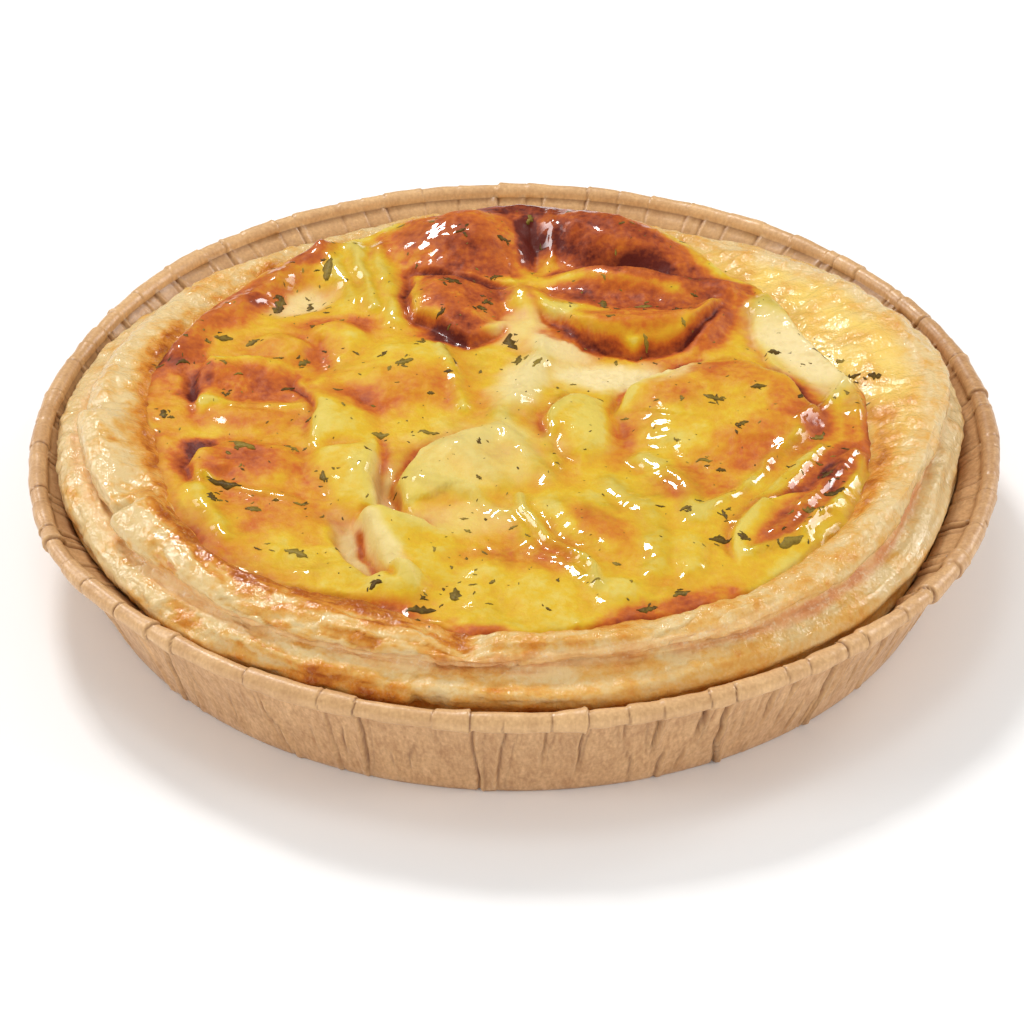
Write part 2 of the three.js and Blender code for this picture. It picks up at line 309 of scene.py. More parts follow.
def paperFinish():
    material, tree, shader, place = startMaterial("kraft paper")
    tone = placeGroup(tree, mottle, {"Place": place, "Patch Scale": 140.0, "Speck Scale": 1900.0,
                                     "Speck Share": 0.5, "Low": 0.32, "High": 0.68})
    stretched = addNode(tree, "ShaderNodeMapping", {"Vector": place, "Scale": (1.0, 1.0, 0.12)})
    fibre = placeGroup(tree, mottle, {"Place": stretched.outputs["Vector"], "Patch Scale": 600.0,
                                      "Speck Scale": 2200.0, "Speck Share": 0.55, "Low": 0.36, "High": 0.66})
    rim = readMask(tree, "rim")
    # painted light on the rim, the flange and fold edges, with less fibre under it
    color = blendColor(tree, rim, paper["light"], paper["rim"])
    color = blendColor(tree, calc(tree, "MULTIPLY", tone, 0.5), color, paper["dark"])
    grain = calc(tree, "MULTIPLY", fibre, spread(tree, rim, 0, 0.7, 0.72, 0.36))
    color = blendColor(tree, grain, color, paper["dark"])
    # painted shade in folds and slits and under the roll
    color = blendColor(tree, readMask(tree, "crease"), color, paper["fold"])
    tree.links.new(color, shader.inputs["Base Color"])
    tree.links.new(spread(tree, fibre, 0.0, 1.0, 0.3, 0.46), shader.inputs["Roughness"])
    height = placeGroup(tree, skin, {"Place": place, "Wrinkle Scale": 300.0, "Pore Scale": 2600.0,
                                     "Pore Share": 0.25})
    addBump(tree, shader, height, 0.3, 0.0004)
    return material


def pleatList():  # places and slants of the pleats, as uneven as hand-pressed paper
    places = list(paper["frontPleats"])
    last = places[-1]
    free = 360 - last + places[0]
    count = round(free / paper["pleatPitch"])
    for k in range(1, count):
        shift = paper["pleatJitter"] * draw.uniform(-0.5, 0.5)
        places.append(last + free * (k + shift) / count)
    pleats = []
    for at in places:
        pleats.append({
            "at": at % 360, "slant": draw.normal(0, 1.0), "bend": draw.normal(0, 1.2),
            "depth": draw.uniform(0.3, 1.0), "foot": draw.uniform(-0.5, 0.6), "lip": draw.choice([-1, 1]),
            "step": draw.normal(0, 0.12), "torn": draw.uniform(-0.6, 1.0), "from": draw.uniform(-0.3, 0.3),
            "to": draw.uniform(0.55, 1.3), "pair": draw.uniform(0.8, 2.2) * draw.choice([-1, 1])})
    return pleats


def wallCreases():  # each crease: azimuth, slant, where it starts and ends up the wall, depth
    press = np.random.default_rng(9)
    creases = []
    for middle, half, count in paper["creases"]:
        for k in range(count):
            at = middle + half * (2 * (k + press.uniform(0.1, 0.9)) / count - 1)
            low = press.uniform(-0.2, 0.5)
            slant = press.normal(0, 1.8)
            high = low + press.uniform(0.35, 0.75)
            creases.append((at, slant, low, high, press.uniform(0.4, 1)))
    return creases


def paperProfile():  # radius, height, how far up the wall, how far round the roll
    base, wallSteps, rollSteps = paper["baseRadius"], paper["wallSteps"], paper["rollSteps"]
    rollMiddle = paper["rimRadius"] - paper["rollRadius"]
    rollHeight = paper["height"] - paper["rollRadius"]
    wallTop = rollMiddle - paper["rollRadius"] + paper["thickness"]
    drop = math.sqrt(paper["rollRadius"] ** 2 - (rollMiddle - wallTop) ** 2)
    rollStart = math.atan2(-drop, wallTop - rollMiddle)
    profile = [(base * 0.5, 0.25, 0.0, 0), (base * 0.9, 0.0, 0.0, 0), (base - 0.7, 0.0, 0.0, 0),
               (base - 0.15, 0.12, 0.02, 0)]
    for s in np.linspace(0.04, 1, wallSteps):
        profile.append((base + (wallTop - base) * s, (rollHeight - drop) * s, s, 0))
    for s in np.linspace(0, 1, rollSteps)[1:]:
        turn = rollStart + (math.pi - rollStart) * s
        profile.append((rollMiddle + paper["rollRadius"] * math.cos(turn),
                        rollHeight + paper["rollRadius"] * math.sin(turn), 1.0, s))
    innerTop, innerFoot = rollMiddle - paper["rollRadius"], base - paper["thickness"]
    for s in 1 - 0.95 * np.linspace(0.05, 1, wallSteps) ** 1.6:
        profile.append((innerFoot + (innerTop - innerFoot) * s, rollHeight * s, s, 0))
    profile += [(innerFoot, paper["thickness"], 0.0, 0), (innerFoot * 0.5, paper["thickness"], 0.0, 0)]
    return np.array(profile), rollHeight


def flangeDepth(around, upWall):  # how far the inner face leans in
    low = smoothStep(0.35, 0.75, upWall) * (1 - smoothStep(0.86, 0.99, upWall))
    high = smoothStep(0.5, 0.85, upWall) * (1 - smoothStep(0.92, 0.995, upWall))
    return ringSway(around, paper["flange"]) * low + ringSway(around, paper["backFlange"]) * high


def caseWall():  # the plain case, with where each point lies on it and the marks that it starts with
    azimuth = np.arange(paper["sectors"]) * 360 / paper["sectors"]
    profile, rollHeight = paperProfile()
    r, z, upWall, onRoll = (np.tile(profile[:, k], (len(azimuth), 1)) for k in range(4))
    around = np.tile(azimuth[:, None], (1, len(profile)))
    inner = np.arange(len(profile)) >= len(profile) - 2 - paper["wallSteps"]
    r = r + ringSway(around, paper["sway"]) * z / rollHeight
    r = r - inner * flangeDepth(around, upWall)
    middle, half = paper["backSide"]
    back = bell(azimuthApart(around, middle), half, 4)
    shaded = ringSway(around, paper["shaded"])
    # crease mask: painted shade under the roll, in a line just under the rim inside, on the shaded side of the
    # rim and inside at the back
    crease = paper["rollShade"] * smoothStep(0.9, 1.0, upWall) * (onRoll == 0) * (1 - inner)
    crease = crease + 0.5 * inner * bell(upWall - 0.99, 0.02)
    crease = crease + 0.16 * (onRoll > 0) * shaded + 0.03 * inner * back
    # painted light: the roll and the inner flange lighter, more at the back, none on the shaded side
    rim = 0.7 * (onRoll > 0) * smoothStep(0.02, 0.12, onRoll) + 0.7 * inner * smoothStep(0.4, 0.65, upWall)
    rim = rim * (1 + 0.3 * back) * (1 - shaded)
    cells = np.stack([around / 3, upWall * 4, onRoll * 3], -1).reshape(-1, 3)
    return SimpleNamespace(
        r=r, z=z, around=around, upWall=upWall, onRoll=onRoll, inner=inner, back=back, crease=crease, rim=rim,
        push=np.zeros_like(r), wander=hashedNoise(cells, 33).reshape(r.shape),
        wrinkled=1 + ringSway(around, paper["wrinkled"]))


def arcApart(wall, azimuth):  # distance along the wall in mm
    return np.radians(azimuthApart(wall.around, azimuth)) * np.maximum(wall.r, 1)


def pressPleat(wall, pleat):  # a crease and its twin down both faces of the wall, and a slit through the roll
    up, roll, inner, back = wall.upWall, wall.onRoll, wall.inner, wall.back
    lip, look = pleat["lip"], paper["pleatLook"]
    middle = pleat["at"] + pleat["slant"] * (up - 1) + pleat["bend"] * (up - 1) ** 2
    apart = arcApart(wall, middle) + 0.6 * wall.wander
    onWall = (roll == 0) * smoothStep(pleat["foot"], pleat["foot"] + 0.3, up) * pleat["depth"]
    fold = look["ridge"] * bell(apart - 0.6 * lip, 0.45) - bell(apart, paper["creaseWidth"])
    wall.push += onWall * wall.wrinkled * paper["creaseDepth"] * fold
    # painted shade in the fold and its twin
    wall.crease += onWall * (look["shade"] + 0.2 * inner - 0.5 * inner * back) * bell(apart, 0.21)
    # painted highlights along the edges of the fold and its twin
    wall.rim += onWall * look["light"] * bell(apart - 0.42 * lip, 0.2)
    beside = apart - pleat["pair"] * (0.4 + 0.6 * up)
    twin = onWall * np.clip(wall.wrinkled - 0.8 + 0.7 * inner * (1 - back), 0, 1)
    wall.push -= look["twin"] * twin * paper["creaseDepth"] * bell(beside, paper["creaseWidth"])
    wall.crease += look["twinShade"] * twin * bell(beside, 0.15)
    wall.rim += look["twinLight"] * twin * bell(beside + 0.36 * lip, 0.2)
    slit = (roll > 0) * (0.35 + 0.65 * pleat["depth"]) * smoothStep(pleat["from"], pleat["from"] + 0.2, roll)
    slit = slit * (1 - smoothStep(pleat["to"] - 0.2, pleat["to"], roll))
    flap = slit * max(pleat["torn"], 0) * bell(apart - 0.42 * lip, 0.25)
    wall.push -= slit * paper["slitDepth"] * bell(apart, paper["slitWidth"])
    wall.push += paper["flap"] * flap
    wall.push += (roll > 0) * pleat["step"] * np.exp(-np.abs(apart) / 2.2) * np.tanh(apart / 0.2)
    # painted highlights on torn flaps, and on slit edges at the back
    wall.rim += look["flapLight"] * flap + 0.5 * back * slit * bell(apart - 0.3 * lip, 0.2)
    # painted shade in the slit
    wall.crease += slit * (look["slitShade"] - 0.5 * back) * bell(apart, paper["slitWidth"] * 0.85)


def pressCrease(wall, at, slant, low, high, depth):  # a short crease on the outer face
    up, look = wall.upWall, paper["creaseLook"]
    apart = arcApart(wall, at + slant * (up - 0.5)) + wall.wander
    length = smoothStep(low, low + 0.25, up) * (1 - smoothStep(high - 0.25, high, up))
    length = length * depth * (wall.onRoll == 0) * (1 - wall.inner)
    fold = look["ridge"] * bell(apart - 0.5, 0.4) - bell(apart, paper["creaseWidth"])
    wall.push += look["depth"] * length * fold
    # painted shade in the crease
    wall.crease += look["shade"] * length * bell(apart, 0.18)
    # painted highlight along the crease's edge
    wall.rim += look["light"] * length * bell(apart - 0.42, 0.2)


def paperPoints():
    wall = caseWall()
    for pleat in pleatList():
        pressPleat(wall, pleat)
    for crease in wallCreases():
        pressCrease(wall, *crease)
    turn = np.radians(wall.around)
    points = np.stack([wall.r * np.cos(turn), wall.r * np.sin(turn), wall.z], -1)
    cells = points.reshape(-1, 3)
    ripple = paper["ripple"] * roughNoise(cells * (1 / 9, 1 / 9, 1 / 22), 31).reshape(turn.shape)
    crumple = np.abs(hashedNoise(cells * (1 / 2.6, 1 / 2.6, 1 / 11), 37)).reshape(turn.shape)
    ripple += paper["crumple"] * (wall.wrinkled - 1) * crumple
    wall.push += ripple * smoothStep(0.0, 0.3, wall.upWall)
    wall.push[wall.upWall <= 0] = 0
    points = points + ringNormals(points) * wall.push[..., None]
    points[..., 2] = np.maximum(points[..., 2], 0)
    return points, {"crease": np.clip(wall.crease, 0, 1), "rim": np.clip(wall.rim, 0, 1)}


def makePaperCase():
    points, masks = paperPoints()
    piece = ringPiece("paper_case_skin", points, masks, paperFinish())
    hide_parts("paper_case")
    print("paper case:", len(piece.data.polygons), "faces")


# the pastry cup with its folded edge

pastry = {
    "sectors": 960, "clearance": 0.3, "plates": 54, "plateHeight": 2.2, "bandRadius": 67,
    # each control: fold, radius, height, and the steps up to the next one
    "controls": (("foot", 62.3, 0.95, 1), ("foot", 64.0, 2.4, 2), ("body", 68.9, 12.8, 2),
                 ("body", 70.4, 15.4, 3), ("ledge", 69.9, 16.8, 4), ("ledge", 70.7, 18.7, 9),
                 ("ledgeTop", 69.7, 20.6, 7), ("shelf", 67.9, 21.4, 7), ("groove", 66.2, 21.9, 7),
                 ("collar", 65.9, 23.0, 7), ("collar", 66.1, 24.2, 7), ("brow", 65.3, 25.3, 8),
                 ("crest", 63.6, 25.9, 9), ("crest", 61.6, 25.7, 9), ("slope", 59.6, 24.7, 11),
                 ("lip", 57.8, 22.8, 3), ("lip", 56.8, 20.0, 2), ("hollow", 54.8, 8.0, 1),
                 ("hollow", 52.8, 6.0, 1), ("hollow", 26.0, 6.0, 1)),
    # bumps round each fold, out and up: azimuth, width, size
    "out": {
        "ledge": ((188, 20, 0.5), (203, 8, -0.5), (232, 14, 0.9), (345, 20, -2.0), (70, 34, -0.8),
                  (125, 36, -0.8)),
        "ledgeTop": ((188, 20, 0.5), (234, 18, 0.8), (280, 16, 0.7), (345, 20, -2.0), (70, 34, -0.8),
                     (125, 36, -0.8)),
        "shelf": ((188, 28, 0.5), (236, 18, 1.1), (310, 18, 0.8), (345, 18, -1.3), (70, 34, -0.8),
                  (125, 36, -0.8)),
        "body": ((345, 20, -1.7),),
        "groove": ((8, 14, 1.2), (190, 26, -0.1), (237, 18, 1.3), (275, 12, -0.8), (308, 16, 1.2),
                   (344, 15, -1.9), (58, 26, -2.0), (115, 34, -1.4)),
        "collar": ((8, 13, 2.2), (190, 26, -0.4), (237, 18, 1.3), (277, 14, -0.7), (344, 15, -1.5),
                   (58, 26, -2.6), (115, 36, -1.8)),
        "brow": ((8, 13, 2.2), (237, 18, 0.8), (277, 16, -0.6), (344, 15, -1.2), (58, 26, -2.6),
                 (115, 36, -1.8)),
        "crest": ((8, 17, 1.4), (58, 26, -2.0), (115, 36, -1.8), (278, 20, 0.3)),
        "slope": ((92, 38, -1.6), (150, 22, -1.4), (190, 16, -2.0), (226, 8, 1.2), (247, 7, -1.6),
                  (270, 12, 1.2), (303, 16, 1.3), (22, 20, -5.0), (50, 14, -3.2), (350, 16, -1.4)),
        "lip": ((120, 16, -2.4), (152, 18, -2.6), (190, 15, -3.0), (226, 8, 2.4), (247, 7, -2.0),
                (268, 12, 2.4), (303, 16, 2.6), (22, 18, -8.4), (50, 13, -5.4), (351, 16, -3.4)),
        "hollow": ((120, 16, -2.4), (190, 20, -2.0), (246, 10, -1.2), (22, 20, -6.4), (50, 14, -4.0)),
    },
    "up": {
        "body": ((345, 24, -0.6), (205, 24, 0.6), (92, 50, -1.6)),
        "ledge": ((70, 34, -3.0), (125, 40, -3.8), (240, 16, 0.3)),
        "ledgeTop": ((70, 34, -3.0), (125, 40, -4.0), (238, 16, 0.6), (312, 22, -0.3), (345, 22, -0.4)),
        "shelf": ((70, 34, -3.2), (125, 40, -4.2), (238, 16, 0.6), (276, 14, -0.2), (312, 20, -0.7)),
        "groove": ((70, 34, -3.4), (125, 40, -4.2), (8, 20, 0.8), (238, 16, 0.6), (312, 20, -0.4)),
        "collar": ((62, 34, -3.6), (125, 42, -4.6), (8, 20, 0.8), (278, 18, -0.2)),
        "brow": ((62, 34, -3.8), (125, 42, -4.7), (8, 20, 0.6), (263, 3, -1.4), (278, 18, -0.5)),
        "crest": ((66, 34, -3.8), (125, 42, -4.4), (14, 22, 0.6), (190, 30, 0.6), (263, 3, -1.7),
                  (204, 3.5, -1.0), (210, 3, 0.6), (280, 20, -0.6)),
        "slope": ((66, 34, -3.2), (125, 42, -3.2), (18, 26, 0.3), (190, 30, 0.5), (247, 8, 0.7),
                  (263, 3, -1.0), (285, 22, -0.4)),
        "lip": ((78, 28, -2.0),),
    },
    # waves round each fold: size, start
    "waves": {"ledge": (0.3, 0.4), "ledgeTop": (0.3, 0.9), "shelf": (0.35, 1.5),
              "groove": (0.35, 1.1), "collar": (0.45, 2.2), "brow": (0.45, 2.8), "crest": (0.4, 3.7),
              "slope": (0.45, 4.6), "lip": (0.3, 5.2)},
    # overlapping turns of the dough: fold, azimuth, sharpness, length, step out, step up
    "laps": (("shelf", 184, 0.8, 14, 0.5, 0.2), ("collar", 184, 0.5, 18, 1.9, 0.5),
             ("brow", 184.5, 0.5, 18, 1.8, 1.0), ("crest", 185.5, 0.6, 16, 1.4, 1.1),
             ("collar", 209, 0.4, 12, 1.8, 0.9), ("brow", 209, 0.4, 10, 1.6, 1.4),
             ("crest", 210, 0.5, 10, 0.8, 1.0), ("ledge", 258, 0.3, 22, -1.3, -0.3),
             ("ledgeTop", 258, 0.3, 20, -0.2, 0.0), ("shelf", 258, 0.4, 16, -1.1, -0.3),
             ("groove", 260, 0.5, 16, -0.9, 0.0), ("collar", 263, 0.5, 20, 0.4, 0.0),
             ("ledge", 205, 0.8, 16, 0.4, 0.3), ("collar", 30, 0.9, 16, 0.7, 0.4),
             ("crest", 150, 1.2, 16, 0.5, 0.3), ("collar", 296, 0.5, 10, 0.5, 0.2),
             ("shelf", 290, 0.4, 12, 0.5, 0.1), ("ledgeTop", 287, 0.5, 9, -0.5, 0.0)),
    # stretches of the ring with a look of their own: azimuth, width, from and to on the section, share
    "stretches": {
        "open": ((325, 38, 7.95, 9.15, 1.0), (254, 36, 7.9, 9.5, 0.8), (286, 20, 8.8, 10.6, 0.7),
                 (222, 16, 7.0, 9.2, 0.8), (192, 24, 6.9, 8.9, 0.6)),
        "split": ((328, 36, 8.3, 8.8, 1.0),),
        "closed": ((330, 44, 6, 10, 0.5),),
        "deep": ((328, 36, 7.4, 9.0, 1.1), (280, 24, 7.4, 9.0, 0.4)),
        "flaky": ((238, 26, 5.5, 12.5, 0.8), (284, 22, 7.6, 12.5, 0.5)),
        "smooth": ((180, 34, 3, 15, 0.5),),
        "glazed": ((318, 36, 3.4, 6.8, 1.0),),
        "crinkled": ((206, 34, 3.6, 14.4, 1.0),),
        "egged": ((24, 34, 13.1, 16, 1.0),),
        "even": ((290, 26, 3, 7, 0.5), (338, 34, 9, 14, 0.4)),
        "shiny": ((245, 30, 9, 13.5, 0.16),),
    },
    # parts of the section all round: where each starts, is full, fades and ends
    "section": {"foot": (2.6, 3.6, 4.2, 5.8), "shown": (3.4, 4.4, 14.6, 15.4),
                "puffed": (8.6, 9.6, 13.4, 14.6)},
    "foldAt": 6.2, "seamAt": 8.2, "shineAt": 5.7,  # places on the section
    # noise in the dough: cell size in mm, seed, octaves
    "noise": {"swell": (9, 5, 3), "blister": (6.5, 9, 3), "bubbles": (3.0, 14, 3),
              "grain": (1.6, 19, 2), "crumb": (1.1, 29, 2), "crinkle": (4.6, 43, 2),
              "ridged": (2.2, 47, 2), "slope": (5, 91, 4), "dry": (8, 41, 2), "broken": (12, 12, 2),
              "layers": (4, 71, 3), "egged": (6, 45, 3), "plateAlong": (5, 61, 3),
              "plateAcross": (5, 62, 3), "holeAlong": (3, 81, 3), "holeAcross": (2.5, 82, 3)},
    # noise drawn out along the ring: length and height in mm, seed
    "bands": {"strata": (9, 0.75, 23), "thinStrata": (4, 0.42, 59), "wrinkle": (2.4, 7.0, 35),
              "flakes": (11, 1.3, 37), "streaks": (5.5, 1.3, 53), "glaze": (14, 1.8, 27)},
    # small holes and cracks between the layers: azimuth, place on the section, spreads of both, depth
    "holes": ((235, 9.0, 0.9, 0.26, 0.9), (238.8, 9.0, 0.8, 0.24, 0.8), (227, 6.6, 1.0, 0.35, 0.7),
              (243, 8.9, 2.0, 0.12, 0.7), (247.5, 9.1, 2.0, 0.12, 0.8), (252, 9.2, 2.0, 0.12, 0.7),
              (256.5, 9.2, 1.8, 0.14, 0.6), (208.4, 8.5, 1.5, 0.4, 1.7), (207.8, 11.2, 0.8, 2.0, 1.3),
              (182.8, 11.2, 0.9, 1.8, 0.8), (204, 8.1, 4.0, 0.14, 0.7), (195, 8.3, 5.0, 0.13, 0.6),
              (186, 8.5, 5.0, 0.13, 0.5), (277, 8.6, 5.0, 0.25, 0.6), (268, 9.4, 3.0, 0.18, 0.5),
              (288, 9.0, 5.0, 0.16, 0.5), (299, 8.6, 5.0, 0.15, 0.5)),
    # browned places: azimuth, place on the section, spreads of both, amount
    "toasted": ((211.7, 13.3, 3, 0.8, 0.52), (222.4, 13.2, 5, 0.9, 0.5), (232, 13.0, 4, 0.9, 0.5),
                (243, 13.8, 10, 0.7, 0.5), (247, 5.9, 9, 1.3, 0.42), (227, 6.2, 3, 1.0, 0.45),
                (236.5, 6.3, 2.6, 0.8, 0.34), (249, 12.4, 13, 1.5, 0.3), (224, 13.2, 14, 1.4, 0.58),
                (355, 12, 24, 2.0, 0.12), (243.5, 6.9, 3, 0.45, -0.34), (235, 10.6, 6, 1.0, -0.16),
                (263, 13, 2.0, 2.0, 0.5), (196, 14.2, 14, 0.5, 0.42), (165, 14.2, 16, 0.6, 0.4),
                # on this line, 205 and 181.5 are painted shade at a lobe's end before a lap, 212.5 painted
                # light on the lobe beyond
                (205, 11.2, 3, 2.4, 0.26), (212.5, 11, 2.4, 2, -0.2), (181.5, 11, 2, 2, 0.16),
                (302, 14.2, 14, 0.4, 0.35), (345, 14.2, 16, 0.5, 0.35), (190, 12.8, 6, 1.0, 0.16),
                (266, 7, 3, 3, 0.12), (254, 5.6, 4, 1.4, 0.36), (263, 5.4, 4, 1.6, -0.2),
                (201, 12.6, 4, 0.8, 0.24), (214, 12.6, 3, 0.7, 0.25), (318, 12.4, 6, 1.0, 0.1),
                (336, 12.0, 6, 1.2, 0.08)),
    # how much browner each side of the ring is: azimuth, width, amount
    "around": ((188, 30, -0.16), (258, 40, 0.1), (288, 22, 0.08), (30, 34, -0.1), (338, 26, -0.07)),
    # height of each pattern in mm
    "relief": {"swell": 0.3, "blister": 0.6, "grain": 0.1, "plate": 0.28, "crack": 0.09, "glaze": 0.2,
               "streak": 0.22, "strata": 0.45, "crumb": 0.2, "wrinkle": 0.22, "flake": 0.2,
               "crinkle": 0.6},
    # how much each browns; foot is painted shade on the ledge's lower side, crinkle, flake and plate are
    # painted light on raised parts, and crinkle and plate painted shade on low ones
    "tint": {"ground": 0.18, "slope": 0.34, "foot": 0.32, "swell": 0.36, "blister": 0.34,
             "crinkle": 0.9, "flake": 0.1, "streak": 0.42, "crack": 0.06, "plate": 0.28},
    "pale": (0.75, 0.545, 0.26), "gold": (0.72, 0.4, 0.105), "toast": (0.64, 0.24, 0.032),
    "brown": (0.4, 0.1, 0.016), "layer": (0.86, 0.545, 0.245), "layerDeep": (0.67, 0.285, 0.11),
    "egg": (0.9, 0.64, 0.16), "fleck": (0.88, 0.71, 0.47),
    "gloss": {"IOR": 1.3, "Subsurface Weight": 0.06, "Subsurface Radius": (1.0, 0.5, 0.2),
              "Subsurface Scale": 0.0015, "Coat Roughness": 0.1, "Coat IOR": 1.7},
}


def caseInside(azimuth, z):  # radius of the inner face of the paper case at this height
    rollMiddle = paper["rimRadius"] - paper["rollRadius"]
    rollHeight = paper["height"] - paper["rollRadius"]
    foot = paper["baseRadius"] - paper["thickness"]
    wall = foot + (rollMiddle - paper["rollRadius"] - foot) * np.clip(z / rollHeight, 0, 1)
    over = np.clip((z - rollHeight) / paper["rollRadius"], 0, 1)
    roll = paper["rollRadius"] * (1 - np.sqrt(1 - over ** 2)) + 3 * (z > paper["height"])
    up = np.clip(z / rollHeight, 0, 1)
    return wall + roll + ringSway(azimuth, paper["sway"]) * up - flangeDepth(azimuth, up)


def pastryFinish():
    material, tree, shader, place = startMaterial("glazed pastry", pastry["gloss"])
    tone = placeGroup(tree, mottle, {"Place": place, "Patch Scale": 280.0, "Speck Scale": 1300.0,
                                     "Speck Share": 0.35, "Low": 0.36, "High": 0.64})
    # browning with painted light and shade
    bakeAndShading = calc(tree, "ADD", readMask(tree, "bakeAndShading"), spread(tree, tone, 0, 1, -0.2, 0.2))
    color = toneRamp(tree, bakeAndShading, [(0.0, pastry["pale"]), (0.34, pastry["gold"]), (0.68, pastry["toast"]),
                                  (1.0, pastry["brown"])])
    color = blendColor(tree, readMask(tree, "egg"), color, pastry["egg"])
    layers = readMask(tree, "layers")
    # deep layers darker, partly painted shade between the strata
    depth = calc(tree, "ADD", readMask(tree, "deep"), spread(tree, tone, 0, 1, -0.3, 0.3), True)
    color = blendColor(tree, layers, color, blendColor(tree, depth, pastry["layer"], pastry["layerDeep"]))
    fleck = placeGroup(tree, mottle, {"Place": place, "Patch Scale": 700.0, "Speck Scale": 2400.0,
                                      "Speck Share": 0.5, "Low": 0.53, "High": 0.66})
    fleck = calc(tree, "MULTIPLY", fleck, spread(tree, layers, 0, 1, 0.14, 0.6))
    color = blendColor(tree, fleck, color, pastry["fleck"])
    tree.links.new(color, shader.inputs["Base Color"])
    tree.links.new(spread(tree, layers, 0, 1, 0.2, 0.5), shader.inputs["Roughness"])
    wet = placeGroup(tree, mottle, {"Place": place, "Patch Scale": 170.0, "Speck Scale": 900.0,
                                    "Speck Share": 0.4, "Low": 0.38, "High": 0.6})
    shine = readMask(tree, "shine")
    wet = calc(tree, "MULTIPLY", wet, shine)
    wet = calc(tree, "MULTIPLY", wet, spread(tree, layers, 0, 1, 1.0, 0.3))
    tree.links.new(wet, shader.inputs["Coat Weight"])
    height = placeGroup(tree, skin, {"Place": place, "Wrinkle Scale": 760.0, "Pore Scale": 2400.0,
                                     "Pore Share": 0.3})
    strength = spread(tree, shine, 0, 1, 0.6, 0.2)
    tree.links.new(addBump(tree, shader, height, strength, 0.0008), shader.inputs["Coat Normal"])
    return material


def pastryPoints():
    azimuth = np.arange(pastry["sectors"]) * 360 / pastry["sectors"]
    controls = []
    for fold, r, z, steps in pastry["controls"]:
        size, start = pastry["waves"].get(fold, (0, 0))
        out = ringSway(azimuth, pastry["out"].get(fold, ())) + size * foldWave(azimuth, start)
        up = ringSway(azimuth, pastry["up"].get(fold, ())) + size * foldWave(azimuth, start + 1)
        for lapFold, at, sharp, length, stepOut, stepUp in pastry["laps"]:
            if lapFold == fold:
                past = azimuthApart(azimuth, at)
                lap = (0.5 + 0.5 * np.tanh(past / sharp)) * np.exp(-np.maximum(past, 0) / length)
                out = out + stepOut * lap
                up = up + stepUp * lap
        controls.append(np.stack([r + out, z + up], -1))
    steps = [entry[3] for entry in pastry["controls"]][:-1]
    rows = splineRows(controls, steps).transpose(1, 0, 2)  # [sector, step, (r, z)]
    starts = np.concatenate([[0], np.cumsum(steps)])
    place = np.interp(np.arange(rows.shape[1]), starts, np.arange(len(starts)))  # position among the controls
    turn = np.radians(azimuth)[:, None]
    points = np.stack([rows[..., 0] * np.cos(turn), rows[..., 0] * np.sin(turn), rows[..., 1]], -1)
    across = np.cumsum(np.linalg.norm(np.diff(points, axis=1, prepend=points[:, :1]), axis=-1), axis=1)
    return SimpleNamespace(points=points, across=across, place=np.tile(place, (len(azimuth), 1)),
                           around=np.tile(azimuth[:, None], (1, rows.shape[1])))


def doughNoise(dough, name):
    size, seed, octaves = pastry["noise"][name]
    return roughNoise(dough.points.reshape(-1, 3) / size, seed, octaves).reshape(dough.place.shape)


def bandNoise(dough, name):  # noise drawn out along the ring
    length, height, seed = pastry["bands"][name]
    turn = np.radians(dough.around)
    ring = pastry["bandRadius"] / length
    cells = np.stack([ring * np.cos(turn), ring * np.sin(turn), dough.across / height], -1).reshape(-1, 3)
    return roughNoise(cells, seed, 2).reshape(turn.shape)


def stretch(dough, at, width, low, high, share):  # part of the ring between two places on the section
    lower = smoothStep(low - 0.4, low + 0.4, dough.place)
    upper = 1 - smoothStep(high - 0.4, high + 0.4, dough.place)
    return share * bell(azimuthApart(dough.around, at), width, 4) * lower * upper


def stretches(dough, name):
    return sum(stretch(dough, *entry) for entry in pastry["stretches"][name])


def section(dough, name):  # part of the section all round the ring, with soft ends
    start, full, fading, end = pastry["section"][name]
    return smoothStep(start, full, dough.place) * (1 - smoothStep(fading, end, dough.place))


def spots(around, place, entries):  # sum of soft spots given by azimuth and place on the section
    return sum(size * np.exp(-(azimuthApart(around, at) / wide) ** 2 - ((place - on) / tall) ** 2)
               for at, on, wide, tall, size in entries)


def scales(u, v, count, seed):  # cracked plates round the ring: the level of each, and room to its edge
    cellU, cellV = np.floor(u).astype(np.int64), np.floor(v).astype(np.int64)
    nearest, second, level = np.full(u.shape, 9.0), np.full(u.shape, 9.0), np.zeros(u.shape)
    for du, dv in np.ndindex(3, 3):
        i, j = cellU + du - 1, cellV + dv - 1
        key = scramble((i % count) * bitMixers[0] + j * bitMixers[1] + seed * bitMixers[2])
        apart = np.hypot(i + (key & 255) / 255 - u, j + ((key >> 8) & 255) / 255 - v)
        nearer = apart < nearest
        second = np.where(nearer, nearest, np.minimum(second, apart))
        level = np.where(nearer, ((key >> 16) & 255) / 127.5 - 1, level)
        nearest = np.where(nearer, apart, nearest)
    return level, second - nearest


